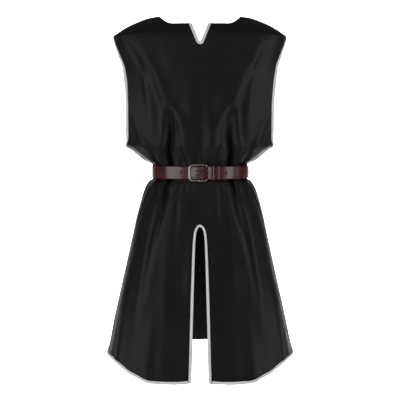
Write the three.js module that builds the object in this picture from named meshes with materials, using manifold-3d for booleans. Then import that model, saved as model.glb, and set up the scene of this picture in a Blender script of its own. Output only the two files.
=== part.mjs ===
// A sleeveless medieval tunic of thin black leather, filled out as it is worn, with its leather belt.
// Millimetres. +Z is up, -Y is the front, +X is to the right of someone who looks at the front.
// The origin lies midway between the two neck ends of the shoulder seams, where the wearer holds it up.
import * as THREE from 'three';
import { mergeVertices } from 'three/addons/utils/BufferGeometryUtils.js';
import Module from 'manifold-3d';

const wasm = await Module();
wasm.setup();

// Cloth and seams
const WALL = 2;
const SEAM_GAP = 0.3;

// Braid sewn along the raw edges
const BRAID_WIDTH = 8;
const BRAID_INSET = 1;
const BRAID_LIFT = 0.4;
const BRAID_THICKNESS = 1.8;

// Neckline, its notch, and the slit in the front of the skirt
const NECK_HALF_WIDTH = 120;
const NECK_DEPTH = 27;
const NECK_FLAT_HALF_WIDTH = 78;
const BACK_NECK_DEPTH = 72;
const NOTCH_HALF_WIDTH = 23.5;
const NOTCH_TIP_Z = -81.5;
const SLIT_TOP_Z = -611;

// Armhole
const ARMHOLE_TOP_Z = -57;
const ARMHOLE_BOTTOM_Z = -379;
const ARMHOLE_FRONT = 60;
const ARMHOLE_BACK = 41;

// Belt and buckle
const BELT_TOP_Z = -440;
const BELT_WIDTH = 36;
const BELT_Z = BELT_TOP_Z - BELT_WIDTH / 2;
const STRAP = 2.2;
const GAP = 0.3;
const FRAME_HEIGHT = 48;
const FRAME_LEFT_X = -30;
const HEEL_BAR_X = 18.6;
const BAR_RADIUS = 1.9;
const PRONG_RADIUS = 1.4;
const PRONG_HOLE_X = -3.5;
const PRONG_HOLE_HALF_HEIGHT = 2.2;
const PRONG_HOLE_HALF_LENGTH = 7.5;
const KEEPER_WIDTH = 8;
const KEEPER_THICKNESS = 1.2;
const KEEPERS = [
  { x: 35, slack: 1.2 },
  { x: 50, slack: 0.5 },
];

// Level sections of the filled-out garment, from the neck down to below the hem.
// Each is a rounded oval: |x / halfWidth| ^ power + |y / depth| ^ power = 1.
const SECTIONS = [
  { z: 0, halfWidth: 120, front: 42, back: 36, power: 2.2 },
  { z: -3, halfWidth: 146, front: 46, back: 40, power: 2.2 },
  { z: -9, halfWidth: 167, front: 54, back: 47, power: 2.2 },
  { z: -15, halfWidth: 182, front: 61, back: 53, power: 2.2 },
  { z: -26, halfWidth: 207, front: 73, back: 63, power: 2.25 },
  { z: -38, halfWidth: 228, front: 83, back: 72, power: 2.3 },
  { z: -50, halfWidth: 245, front: 90, back: 79, power: 2.35 },
  { z: -58, halfWidth: 254, front: 94, back: 83, power: 2.4 },
  { z: -80, halfWidth: 250, front: 101, back: 92, power: 2.4 },
  { z: -110, halfWidth: 243, front: 109, back: 100, power: 2.35 },
  { z: -150, halfWidth: 236.5, front: 117, back: 106, power: 2.15 },
  { z: -200, halfWidth: 241, front: 123, back: 110, power: 1.95 },
  { z: -260, halfWidth: 244, front: 127, back: 112, power: 1.88 },
  { z: -330, halfWidth: 241, front: 128, back: 115, power: 1.9 },
  { z: -352, halfWidth: 232, front: 127, back: 115, power: 2.05 },
  { z: -368, halfWidth: 223, front: 126, back: 115, power: 2.25 },
  { z: -380, halfWidth: 219, front: 125, back: 115, power: 2.4 },
  { z: -400, halfWidth: 196.5, front: 120, back: 113, power: 2.35 },
  { z: -424, halfWidth: 167, front: 113, back: 110, power: 2.25 },
  { z: -438, halfWidth: 142, front: 109, back: 107, power: 2.2 },
  { z: -478, halfWidth: 142, front: 109, back: 107, power: 2.2 },
  { z: -486, halfWidth: 153, front: 112.5, back: 110, power: 2.2 },
  { z: -497, halfWidth: 160.5, front: 117, back: 114, power: 2.2 },
  { z: -513, halfWidth: 168, front: 122, back: 118, power: 2.2 },
  { z: -550, halfWidth: 179, front: 134, back: 128, power: 2.5 },
  { z: -622, halfWidth: 197, front: 146, back: 142, power: 2.95 },
  { z: -733, halfWidth: 221, front: 160, back: 161, power: 3.1 },
  { z: -845, halfWidth: 246, front: 176, back: 180, power: 3.1 },
  { z: -957, halfWidth: 271, front: 192, back: 197, power: 2.85 },
  { z: -1060, halfWidth: 293, front: 206, back: 210, power: 2.65 },
];

// Folds. Angles are in degrees from the middle of a panel towards its side seam, heights are out from
// the oval and negative in a pleat, and width is half the fold's width. A fold on both sides of the
// panel has its left copy turned and scaled by the left factors, because no two folds are quite alike.
const FRONT_FOLDS = [
  { name: 'waist pleat', width: 9, leftAngle: 1, leftHeight: 1.05,
    z: [-250, -300, -360, -425, -458, -490, -560, -665, -780, -850],
    angle: [36.4, 36.2, 36.4, 42.8, 45.5, 46.5, 42.5, 45, 46.7, 47],
    height: [0, -4, -9, -15, -15, -13, -8, -5, -3, 0] },
  { name: 'waist hollow', width: 34, leftAngle: 1, leftHeight: 1.05,
    z: [-240, -300, -360, -410, -436],
    angle: [37, 37, 37, 39, 43],
    height: [0, -5, -9, -9, 0] },
  { name: 'side pleat', width: 8, leftAngle: 0.98, leftHeight: 1,
    z: [-370, -400, -425, -458, -490, -530, -590],
    angle: [54, 57, 61, 65, 63, 60, 58],
    height: [0, -5, -11, -12, -10, -5, 0] },
  { name: 'seam gather', width: 8, leftAngle: 1, leftHeight: 1,
    z: [-392, -425, -458, -490, -550],
    angle: [77, 78, 79, 78, 77],
    height: [0, -6, -8, -6, 0] },
  { name: 'shoulder drape', width: 16, leftAngle: 1, leftHeight: 1.1,
    z: [-64, -110, -176, -242, -300, -360, -410],
    angle: [66, 61, 50, 41, 27, 16, 12],
    height: [0, 4, 7, 7, 4, 3, 0] },
  { name: 'armhole drape', width: 12, leftAngle: 1.02, leftHeight: 1,
    z: [-110, -160, -220, -280, -350],
    angle: [61, 59, 56.5, 54, 52],
    height: [0, 3, 4, 3, 0] },
  { name: 'ridge outside the pleat', width: 9, leftAngle: 1, leftHeight: 1,
    z: [-235, -300, -375, -432],
    angle: [43, 43.5, 45, 53],
    height: [0, 4, 6, 0] },
  { name: 'ridge inside the pleat', width: 15, leftAngle: 1, leftHeight: 0.9,
    z: [-265, -340, -400, -434],
    angle: [24, 24, 26, 31],
    height: [0, 3, 5, 0] },
  { name: 'underarm ridge', width: 10, leftAngle: 1, leftHeight: 1,
    z: [-280, -320, -375, -415],
    angle: [71, 67, 61, 58],
    height: [0, 4, 4, 0] },
  { name: 'middle hollow', single: true, width: 24,
    z: [-255, -330, -400, -432],
    angle: [0, 0, 1, 1],
    height: [0, -3, -4, 0] },
  { name: 'belly hollow', single: true, width: 30,
    z: [-482, -520, -560, -606],
    angle: [0, 0, 1, 0],
    height: [0, -3, -3, 0] },
  { name: 'skirt ridge', width: 19, leftAngle: 0.99, leftHeight: 1.1,
    z: [-515, -570, -640, -740, -830, -940],
    angle: [50.5, 48, 48, 48, 48.5, 48],
    height: [0, 3, 4.5, 5, 3.5, 0] },
  { name: 'slit edge curl', width: 16, leftAngle: 1, leftHeight: 1,
    z: [-610, -680, -750, -860],
    angle: [8, 9, 9.5, 9],
    height: [0, 3, 4, 0] },
  { name: 'outer hem wave', width: 16, leftAngle: 1, leftHeight: 1,
    z: [-790, -900, -1060],
    angle: [62, 60, 59],
    height: [0, 4, 8] },
  { name: 'inner hem wave', width: 16, leftAngle: 1, leftHeight: 1,
    z: [-820, -930, -1060],
    angle: [38, 39, 40],
    height: [0, 3, 6] },
];

const BACK_FOLDS = [
  { name: 'back waist pleat', width: 9, leftAngle: 1.04, leftHeight: 1,
    z: [-240, -300, -360, -425, -458, -490, -560, -690, -800],
    angle: [38, 38, 38.5, 43, 45, 45, 43, 44, 45],
    height: [0, -4, -9, -14, -14, -12, -8, -4, 0] },
  { name: 'back side pleat', width: 8, leftAngle: 0.97, leftHeight: 0.9,
    z: [-340, -390, -425, -458, -490, -540, -640],
    angle: [60, 61, 63, 65, 64, 62, 61],
    height: [0, -6, -11, -12, -10, -6, 0] },
  { name: 'back inner pleat', width: 9, leftAngle: 1.1, leftHeight: 0.9,
    z: [-330, -380, -425, -458, -490, -540, -600],
    angle: [20, 20, 21, 22, 22, 21, 21],
    height: [0, -3, -7, -8, -7, -4, 0] },
  { name: 'back shoulder drape', width: 17, leftAngle: 1, leftHeight: 0.9,
    z: [-90, -150, -220, -300, -380],
    angle: [62, 57, 50, 46, 46],
    height: [0, 4, 6, 5, 0] },
  { name: 'back skirt ridge', width: 18, leftAngle: 1.05, leftHeight: 0.9,
    z: [-486, -540, -660, -800, -950, -1060],
    angle: [54, 54, 54, 55, 55, 55],
    height: [0, 5, 9, 8, 7, 7] },
  { name: 'back middle wave', width: 24, leftAngle: 1.1, leftHeight: 0.8,
    z: [-560, -700, -880, -1060],
    angle: [18, 17, 17, 17],
    height: [0, 4, 6, 6] },
  { name: 'back outer hem wave', width: 16, leftAngle: 1, leftHeight: 1,
    z: [-760, -900, -1060],
    angle: [73, 73, 72],
    height: [0, 3, 5] },
];

// How far below the shoulder the hem hangs, by the angle from the middle of each panel
const FRONT_HEM = {
  angle: [0, 8, 15, 22, 36, 40, 45, 52, 60, 68, 76, 90],
  z: [-1048, -1048, -1051, -1052, -1051.5, -1046, -1038, -1026, -1005, -1000, -1000, -1000],
};
const BACK_HEM = { angle: [0, 30, 60, 90], z: [-1016, -1014, -1004, -1000] };

// Rows of the cloth's mesh above the hem, and the column angles around the waist pleat
const ROW_Z = [
  0, -3, -9, -16, -26, -38, -50, -58, -80, -110, -145, -185, -225, -262, -298, -332, -360, -384, -402,
  -416, -428, -437, -458, -479, -487, -498, -514, -540, -580, -630, -690, -755, -820, -885, -945,
];
const HEM_STRIP = BRAID_WIDTH + BRAID_INSET + 0.5;
const PLEAT_COLUMNS = [-10, -6, -3, 0, 3, 6, 10];
const INNER_COLUMNS = 4;
const OUTER_COLUMNS = 5;

// A smooth curve through a table's values that never overshoots them, read at x. Keys run one way.
function smooth(keys, values, x) {
  const falling = keys[0] > keys[keys.length - 1];
  const last = keys.length - 1;
  const at = (i) => (falling ? -keys[i] : keys[i]);
  const q = falling ? -x : x;
  if (q <= at(0)) return values[0];
  if (q >= at(last)) return values[last];
  let i = 0;
  while (q > at(i + 1)) i++;
  const slope = (k) => (values[k + 1] - values[k]) / (at(k + 1) - at(k));
  const tangent = (k) => {
    if (k === 0) return slope(0);
    if (k === last) return slope(last - 1);
    const before = slope(k - 1);
    const after = slope(k);
    return before * after <= 0 ? 0 : (2 * before * after) / (before + after);
  };
  const span = at(i + 1) - at(i);
  const t = (q - at(i)) / span;
  return (
    (1 + 2 * t) * (1 - t) ** 2 * values[i] + t * (1 - t) ** 2 * span * tangent(i) +
    t * t * (3 - 2 * t) * values[i + 1] + t * t * (t - 1) * span * tangent(i + 1)
  );
}

const sectionColumn = (name) => SECTIONS.map((s) => s[name]);
const COLUMN = {
  z: sectionColumn('z'),
  halfWidth: sectionColumn('halfWidth'),
  front: sectionColumn('front'),
  back: sectionColumn('back'),
  power: sectionColumn('power'),
};

// The oval at height z on one side: its half width, its depth and its power
function section(side, z) {
  return {
    a: smooth(COLUMN.z, COLUMN.halfWidth, z),
    b: smooth(COLUMN.z, COLUMN[side], z),
    n: smooth(COLUMN.z, COLUMN.power, z),
  };
}

// A point of an oval at an angle from its depth axis, and the outward direction there
function ovalPoint({ a, b, n }, angle) {
  const turn = THREE.MathUtils.degToRad(angle);
  const s = Math.sin(turn);
  const c = Math.max(0, Math.cos(turn));
  const radius = ((Math.abs(s) / a) ** n + (c / b) ** n) ** (-1 / n);
  const x = radius * s;
  const y = radius * c;
  const nx = (Math.sign(x) * Math.abs(x) ** (n - 1)) / a ** n;
  const ny = y ** (n - 1) / b ** n;
  const length = Math.hypot(nx, ny);
  return { radius, x, y, nx: nx / length, ny: ny / length };
}

// Folds of a panel, with those on both sides written out
function spread(folds) {
  const out = [];
  for (const f of folds) {
    out.push(f);
    if (f.single) continue;
    const angle = f.angle.map((v) => -v * f.leftAngle);
    const height = f.height.map((v) => v * f.leftHeight);
    out.push({ ...f, angle, height });
  }
  return out;
}
const FOLDS = { front: spread(FRONT_FOLDS), back: spread(BACK_FOLDS) };

// How far the cloth stands out of the oval at an angle and height
function foldHeight(side, angle, z, radius) {
  let sum = 0;
  for (const f of FOLDS[side]) {
    if (z > f.z[0] || z < f.z[f.z.length - 1]) continue;
    const across = THREE.MathUtils.degToRad(angle - smooth(f.z, f.angle, z)) * radius;
    sum += smooth(f.z, f.height, z) * Math.exp(-((across / f.width) ** 2));
  }
  return sum;
}

// A point of the cloth's outer face. The angle runs from the panel's middle, positive towards +X.
function clothPoint(side, angle, z) {
  const { radius, x, y, nx, ny } = ovalPoint(section(side, z), angle);
  const out = foldHeight(side, angle, z, radius);
  const facing = side === 'front' ? -1 : 1;
  return new THREE.Vector3(x + nx * out, facing * (y + ny * out), z);
}

const SIDE = 90;
const atSideSeam = (angle) => Math.abs(angle) > SIDE - 0.1;

// The outward direction of the cloth at that point. At a seam it stays in the seam's plane.
function clothNormal(side, angle, z) {
  const turn = 0.5;
  const rise = 1;
  const top = Math.min(0, z + rise);
  const right = clothPoint(side, Math.min(SIDE, angle + turn), z);
  const left = clothPoint(side, Math.max(-SIDE, angle - turn), z);
  const up = clothPoint(side, angle, top).sub(clothPoint(side, angle, top - 2 * rise));
  const normal = right.sub(left).cross(up);
  if (side === 'back') normal.negate();
  if (atSideSeam(angle)) normal.y = 0;
  return normal.normalize();
}

// The angles of the mesh's columns, from one side seam to the other, close together at the waist pleats
function columnAngles(side, z) {
  const pleat = FOLDS[side][0];
  const p = smooth(pleat.z, pleat.angle, z);
  const inner = p + PLEAT_COLUMNS[0];
  const outer = p + PLEAT_COLUMNS[PLEAT_COLUMNS.length - 1];
  const angles = [];
  for (let i = 0; i < INNER_COLUMNS; i++) angles.push((inner * i) / INNER_COLUMNS);
  for (const d of PLEAT_COLUMNS) angles.push(p + d);
  for (let i = 1; i <= OUTER_COLUMNS; i++) angles.push(outer + ((SIDE - outer) * i) / OUTER_COLUMNS);
  return [...angles.slice(1).reverse().map((v) => -v), ...angles];
}

const hemZ = (side, angle) => {
  const hem = side === 'front' ? FRONT_HEM : BACK_HEM;
  return smooth(hem.angle, hem.z, Math.abs(angle));
};

// Rows of one panel, each a list of { point, normal }, from the neck to the hem.
function panelRows(side) {
  const shift = side === 'front' ? -SEAM_GAP / 2 : SEAM_GAP / 2;
  const sample = (angle, z) => {
    const point = clothPoint(side, angle, z);
    if (atSideSeam(angle)) point.y = shift;
    return { point, normal: clothNormal(side, angle, z) };
  };
  const rows = ROW_Z.map((z) => columnAngles(side, z).map((angle) => sample(angle, z)));
  const lowest = ROW_Z[ROW_Z.length - 1];
  const hemAngles = columnAngles(side, lowest);
  rows.push(hemAngles.map((angle) => sample(angle, hemZ(side, angle) + HEM_STRIP)));
  rows.push(hemAngles.map((angle) => sample(angle, hemZ(side, angle))));
  return rows;
}

// Whether a twisted cell of the grid is creased outwards along the diagonal from a to c, not b to d.
// It depends on the cell alone, so that braid made from the same cell lies level with the cloth.
function creasedFromFirst(a, b, c, d) {
  const gap = a.point.clone().add(c.point).sub(b.point).sub(d.point);
  const normal = a.normal.clone().add(b.normal).add(c.normal).add(d.normal);
  return gap.dot(normal) > 0;
}

// A closed wall over a grid of samples: its faces lie `outer` and `inner` along the normals.
function wall(rows, outer, inner, ring = false) {
  const height = rows.length;
  const width = rows[0].length;
  const positions = [];
  for (const offset of [outer, inner])
    for (const row of rows)
      for (const { point, normal } of row) {
        positions.push(...point.clone().addScaledVector(normal, offset).toArray());
      }
  const at = (layer, i, j) => (layer * height + i) * width + (j % width);
  const faces = [];
  const quad = (a, b, c, d) => faces.push(a, b, c, a, c, d);
  const spans = ring ? width : width - 1;
  for (let i = 0; i < height - 1; i++)
    for (let j = 0; j < spans; j++) {
      const next = (j + 1) % width;
      const straight = creasedFromFirst(rows[i][j], rows[i + 1][j], rows[i + 1][next], rows[i][next]);
      const outside = [at(0, i, j), at(0, i + 1, j), at(0, i + 1, j + 1), at(0, i, j + 1)];
      const inside = [at(1, i, j), at(1, i, j + 1), at(1, i + 1, j + 1), at(1, i + 1, j)];
      for (const corners of [outside, inside]) {
        if (!straight) corners.push(corners.shift());
        quad(...corners);
      }
    }
  for (let j = 0; j < spans; j++) {
    quad(at(0, 0, j), at(0, 0, j + 1), at(1, 0, j + 1), at(1, 0, j));
    quad(at(0, height - 1, j), at(1, height - 1, j), at(1, height - 1, j + 1), at(0, height - 1, j + 1));
  }
  if (!ring)
    for (let i = 0; i < height - 1; i++) {
      quad(at(0, i, 0), at(1, i, 0), at(1, i + 1, 0), at(0, i + 1, 0));
      quad(at(0, i, width - 1), at(0, i + 1, width - 1), at(1, i + 1, width - 1), at(1, i, width - 1));
    }
  const geometry = new THREE.BufferGeometry();
  geometry.setAttribute('position', new THREE.Float32BufferAttribute(positions, 3));
  geometry.setIndex(faces);
  return geometry;
}

// A three.js geometry as a solid for cutting, turned right side out if need be
function solid(geometry) {
  const bare = geometry.clone();
  bare.deleteAttribute('normal');
  bare.deleteAttribute('uv');
  const merged = mergeVertices(bare, 1e-4);
  const vertProperties = new Float32Array(merged.attributes.position.array);
  const build = (triVerts) => new wasm.Manifold(new wasm.Mesh({ numProp: 3, vertProperties, triVerts }));
  const triangles = new Uint32Array(merged.index.array);
  const made = build(triangles);
  if (made.volume() > 0) return made;
  return build(triangles.reverse());
}

function geometryOf(made) {
  const mesh = made.getMesh();
  const geometry = new THREE.BufferGeometry();
  geometry.setAttribute('position', new THREE.Float32BufferAttribute(mesh.vertProperties, 3));
  geometry.setIndex(Array.from(mesh.triVerts));
  return geometry;
}

// An outline of [across, up] points pushed along an axis as a cutter: towards the front, or to the right
const X_AXIS = new THREE.Vector3(1, 0, 0);
const Y_AXIS = new THREE.Vector3(0, 1, 0);
const Z_AXIS = new THREE.Vector3(0, 0, 1);
const FRONTWARD = new THREE.Matrix4().makeBasis(X_AXIS, Z_AXIS, Y_AXIS.clone().negate());
const SIDEWAYS = new THREE.Matrix4().makeBasis(Y_AXIS, Z_AXIS, X_AXIS);
function prism(outline, basis, from, depth, hole) {
  const shape = new THREE.Shape(outline.map(([u, v]) => new THREE.Vector2(u, v)));
  if (hole) shape.holes.push(new THREE.Path(hole.map(([u, v]) => new THREE.Vector2(u, v))));
  const geometry = new THREE.ExtrudeGeometry(shape, { depth, bevelEnabled: false });
  geometry.translate(0, 0, from);
  geometry.applyMatrix4(basis);
  return solid(geometry);
}

// A line of [u, v] points moved sideways by a distance, or by one distance for each point
function moved(line, distance, closed = false) {
  const count = line.length;
  return line.map(([u, v], i) => {
    const before = line[closed ? (i + count - 1) % count : Math.max(0, i - 1)];
    const after = line[closed ? (i + 1) % count : Math.min(count - 1, i + 1)];
    const du = after[0] - before[0];
    const dv = after[1] - before[1];
    const length = Math.hypot(du, dv);
    const by = Array.isArray(distance) ? distance[i] : distance;
    return [u + (dv / length) * by, v - (du / length) * by];
  });
}

const mirrored = (line) => line.map(([u, v]) => [-u, v]).reverse();

// The front notch from its left end down round the tip and up to its right end
const NOTCH_TIP_HALF_WIDTH = 2;
const NOTCH_TIP_DROP = 1.6;
function notchLine() {
  const rise = -NECK_DEPTH - NOTCH_TIP_Z;
  const spread = NOTCH_HALF_WIDTH - NOTCH_TIP_HALF_WIDTH;
  const steps = 4;
  const right = [];
  for (let i = 1; i <= steps; i++) {
    const part = i / steps;
    right.push([NOTCH_TIP_HALF_WIDTH + spread * part, NOTCH_TIP_Z + rise * part]);
  }
  return [...mirrored(right), [0, NOTCH_TIP_Z - NOTCH_TIP_DROP], ...right];
}

// Half of the front neckline, from its flat middle out to the neck end of the shoulder seam
function necklineHalf() {
  const line = [];
  const steps = 7;
  for (let i = 0; i <= steps; i++) {
    const part = i / steps;
    const x = NECK_FLAT_HALF_WIDTH + (NECK_HALF_WIDTH - NECK_FLAT_HALF_WIDTH) * part;
    line.push([x, -NECK_DEPTH * (1 - part ** 2.1)]);
  }
  return line;
}

// The slit's half width, by how far below its rounded top. Its line runs from the right side over the
// top, so that the cloth is on the same hand as it is for the notch.
const SLIT = {
  drop: [0, 2, 7, 16, 36, 66, 134, 209, 309, 379, 449],
  half: [0, 3.2, 6.4, 9.5, 12, 13.6, 15.8, 17.4, 20, 21.6, 24],
};
function slitLine() {
  const right = SLIT.half.map((half, i) => [half, SLIT_TOP_Z - SLIT.drop[i]]);
  return [...right.slice().reverse(), ...right.slice(1).map(([x, z]) => [-x, z])];
}

// The armhole in side view, all round, from its top at the shoulder tip. Front is negative.
const ARMHOLE = {
  z: [ARMHOLE_TOP_Z, -68, -90, -120, -160, -210, -270, -320, -350, -368, -376, ARMHOLE_BOTTOM_Z],
  front: [0, 9, 20, 33, 46, 56, ARMHOLE_FRONT, ARMHOLE_FRONT - 2, 52, 38, 20, 0],
  back: [0, 5, 11, 18, 26, 35, ARMHOLE_BACK, ARMHOLE_BACK - 2, 34, 24, 13, 0],
};
function armholeLine() {
  const front = ARMHOLE.z.map((z, i) => [-ARMHOLE.front[i], z]);
  const back = ARMHOLE.z.map((z, i) => [ARMHOLE.back[i], z]);
  return [...front, ...back.slice(1, -1).reverse()];
}

// Everything that is cut out of the front and the back
const DEEP = 320;
const ABOVE_Z = 60;
const OVER_NECK = [[NECK_HALF_WIDTH, ABOVE_Z], [-NECK_HALF_WIDTH, ABOVE_Z]];
function frontCuts() {
  const half = necklineHalf();
  const neck = prism([...mirrored(half), ...notchLine(), ...half, ...OVER_NECK], FRONTWARD, -1, DEEP);
  return neck.add(prism(slitLine(), FRONTWARD, 20, DEEP));
}

function backCuts() {
  const steps = 16;
  const scoop = [];
  for (let i = 0; i <= steps; i++) {
    const part = (2 * i) / steps - 1;
    scoop.push([NECK_HALF_WIDTH * part, -BACK_NECK_DEPTH * (1 - Math.abs(part) ** 2.4)]);
  }
  return prism([...scoop, ...OVER_NECK], FRONTWARD, -DEEP, DEEP + 1);
}

const armholeCut = () => prism(armholeLine(), SIDEWAYS, -DEEP, 2 * DEEP);

// The braid round an armhole narrows over the shoulder, where the cloth lies nearly flat
function armholeBand(side) {
  const line = armholeLine();
  const widening = ([, z]) => 0.55 + 0.45 * Math.min(1, (ARMHOLE_TOP_Z - z) / 50);
  const inset = line.map((p) => BRAID_INSET * widening(p));
  const reach = line.map((p) => (BRAID_INSET + BRAID_WIDTH) * widening(p));
  const inside = 120;
  const from = side > 0 ? inside : -DEEP;
  return prism(moved(line, reach, true), SIDEWAYS, from, DEEP - inside, moved(line, inset, true));
}

// Braid over a cut in the front: a band along the line, pushed through a slab that lies on the cloth
function bandAlong(line) {
  const near = moved(line, BRAID_INSET);
  const far = moved(line, BRAID_INSET + BRAID_WIDTH);
  return prism([...near, ...far.reverse()], FRONTWARD, 20, DEEP);
}
const slab = (rows) => solid(wall(rows, BRAID_LIFT + BRAID_THICKNESS, BRAID_LIFT));

const FRONT_ROWS = panelRows('front');
const BACK_ROWS = panelRows('back');
const COLUMNS = FRONT_ROWS[0].length;
const frontRowsBelow = (top) => FRONT_ROWS.filter((row) => row[0].point.z < top);

function frontPanel() {
  return solid(wall(FRONT_ROWS, 0, -WALL)).subtract(frontCuts()).subtract(armholeCut());
}

function backPanel() {
  return solid(wall(BACK_ROWS, 0, -WALL)).subtract(backCuts()).subtract(armholeCut());
}

// A sample of the side seam, in the seam's own plane
const onSeam = ({ point, normal }) => ({ point: point.clone().setY(0), normal });

// Front and back columns beside one side seam, as rows that run from front to back
function sideRows(side) {
  const reach = 11;
  const join = (front, back) => {
    const f = side > 0 ? front.slice(COLUMNS - reach) : front.slice(0, reach).reverse();
    const b = side > 0 ? back.slice(COLUMNS - reach).reverse() : back.slice(0, reach);
    return [...f.slice(0, -1), onSeam(f[f.length - 1]), ...b.slice(1)];
  };
  return FRONT_ROWS.map((row, i) => join(row, BACK_ROWS[i])).filter((row) => row[0].point.z > -420);
}

const armholeBraid = (side) => slab(sideRows(side)).intersect(armholeBand(side));

// A block right across the front between two heights
function blockBetween(low, high) {
  const reach = 60;
  return prism([[-reach, low], [reach, low], [reach, high], [-reach, high]], FRONTWARD, 0, DEEP);
}

function notchBraid() {
  const line = notchLine();
  const beyond = { across: 5, up: 12 };
  const end = line[line.length - 1];
  const first = [-end[0] - beyond.across, end[1] + beyond.up];
  const last = [end[0] + beyond.across, end[1] + beyond.up];
  const cover = slab(FRONT_ROWS.filter((row) => row[0].point.z > -150));
  const band = cover.intersect(bandAlong([first, ...line, last]));
  return band.subtract(blockBetween(-NECK_DEPTH - BRAID_INSET, ABOVE_Z));
}

// The hem's braid runs all round, from one side of the slit to the other
function hemBraid() {
  const strip = (rows) => {
    const upper = rows[rows.length - 2];
    const lower = rows[rows.length - 1];
    const between = (part) =>
      lower.map((low, j) => ({
        point: low.point.clone().lerp(upper[j].point, part),
        normal: low.normal.clone().lerp(upper[j].normal, part).normalize(),
      }));
    return [between((BRAID_INSET + BRAID_WIDTH) / HEM_STRIP), between(BRAID_INSET / HEM_STRIP)];
  };
  const front = strip(FRONT_ROWS);
  const back = strip(BACK_ROWS);
  const last = COLUMNS - 1;
  const rows = [0, 1].map((i) => [
    onSeam(front[i][0]),
    ...front[i].slice(1, last),
    onSeam(front[i][last]),
    ...back[i].slice(1, last).reverse(),
  ]);
  const ring = solid(wall(rows, BRAID_LIFT + BRAID_THICKNESS, BRAID_LIFT, true));
  const wide = moved(slitLine(), BRAID_INSET + BRAID_WIDTH + SEAM_GAP);
  return ring.subtract(prism(wide, FRONTWARD, 20, DEEP));
}

function slitBraid() {
  const cover = slab(frontRowsBelow(SLIT_TOP_Z + 4 * BRAID_WIDTH));
  const bottom = hemZ('front', 0) + BRAID_INSET;
  return cover.intersect(bandAlong(slitLine())).subtract(blockBetween(bottom - 60, bottom));
}

// A closed body lofted through sections with equal numbers of points
function loft(sections, ring = false) {
  const count = sections[0].length;
  const positions = sections.flat().flatMap((p) => p.toArray());
  const faces = [];
  const at = (i, j) => (i % sections.length) * count + (j % count);
  const spans = ring ? sections.length : sections.length - 1;
  for (let i = 0; i < spans; i++)
    for (let j = 0; j < count; j++) {
      faces.push(at(i, j), at(i + 1, j), at(i + 1, j + 1));
      faces.push(at(i, j), at(i + 1, j + 1), at(i, j + 1));
    }
  if (!ring)
    for (let j = 1; j < count - 1; j++) {
      faces.push(at(0, 0), at(0, j), at(0, j + 1));
      faces.push(at(sections.length - 1, 0), at(sections.length - 1, j + 1), at(sections.length - 1, j));
    }
  const geometry = new THREE.BufferGeometry();
  geometry.setAttribute('position', new THREE.Float32BufferAttribute(positions, 3));
  geometry.setIndex(faces);
  return geometry;
}

// A place beside the belted waist, by the angle in degrees from the front middle towards +X: the
// point of the oval, the outward direction, and the direction round the waist
const WAIST = { front: section('front', BELT_Z), back: section('back', BELT_Z) };
function waistFrame(angle) {
  const turned = ((angle % 360) + 360) % 360;
  const onFront = turned <= 90 || turned >= 270;
  const { x, y, nx, ny } = ovalPoint(onFront ? WAIST.front : WAIST.back, onFront ? turned : 180 - turned);
  const facing = onFront ? -1 : 1;
  const out = new THREE.Vector3(nx, facing * ny, 0);
  return { point: new THREE.Vector3(x, facing * y, BELT_Z), out, along: new THREE.Vector3(-out.y, out.x, 0) };
}
const besideWaist = (angle, lift) => {
  const { point, out } = waistFrame(angle);
  return point.addScaledVector(out, lift);
};
function waistAngle(x) {
  const { a, b, n } = WAIST.front;
  return THREE.MathUtils.radToDeg(Math.atan2(x, b * (1 - (Math.abs(x) / a) ** n) ** (1 / n)));
}

// A point that circles a place of the waist, from above it towards the left
function circling({ out, along }, centre, radius, degrees) {
  const turn = THREE.MathUtils.degToRad(degrees);
  const away = out.clone().multiplyScalar(Math.cos(turn)).addScaledVector(along, -Math.sin(turn));
  return centre.clone().addScaledVector(away, radius);
}

// Lifts of the strap's middle, counted up from the cloth through the layers at the buckle
const CHAPE_BASE = GAP + KEEPER_THICKNESS + GAP;
const LIFT = {
  single: 2 * GAP + STRAP / 2,
  returned: CHAPE_BASE + STRAP / 2,
  heelBar: CHAPE_BASE + STRAP + BAR_RADIUS + GAP,
};
LIFT.foldTop = LIFT.heelBar + BAR_RADIUS + GAP + STRAP / 2;
LIFT.under = LIFT.returned + STRAP + GAP;
LIFT.over = LIFT.under + STRAP + GAP;
LIFT.outer = LIFT.single + STRAP + GAP;
LIFT.overHeel = LIFT.heelBar + BAR_RADIUS + 2 * GAP + 2 * PRONG_RADIUS + STRAP / 2;
LIFT.frameLeft = LIFT.single + 1.6 + STRAP / 2 + BAR_RADIUS + 2 * GAP;

const HEEL = waistAngle(HEEL_BAR_X);
const FRAME_LEFT = waistAngle(FRAME_LEFT_X);
const RETURN_END = 36;
const TIP_ANGLE = 478;

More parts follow.
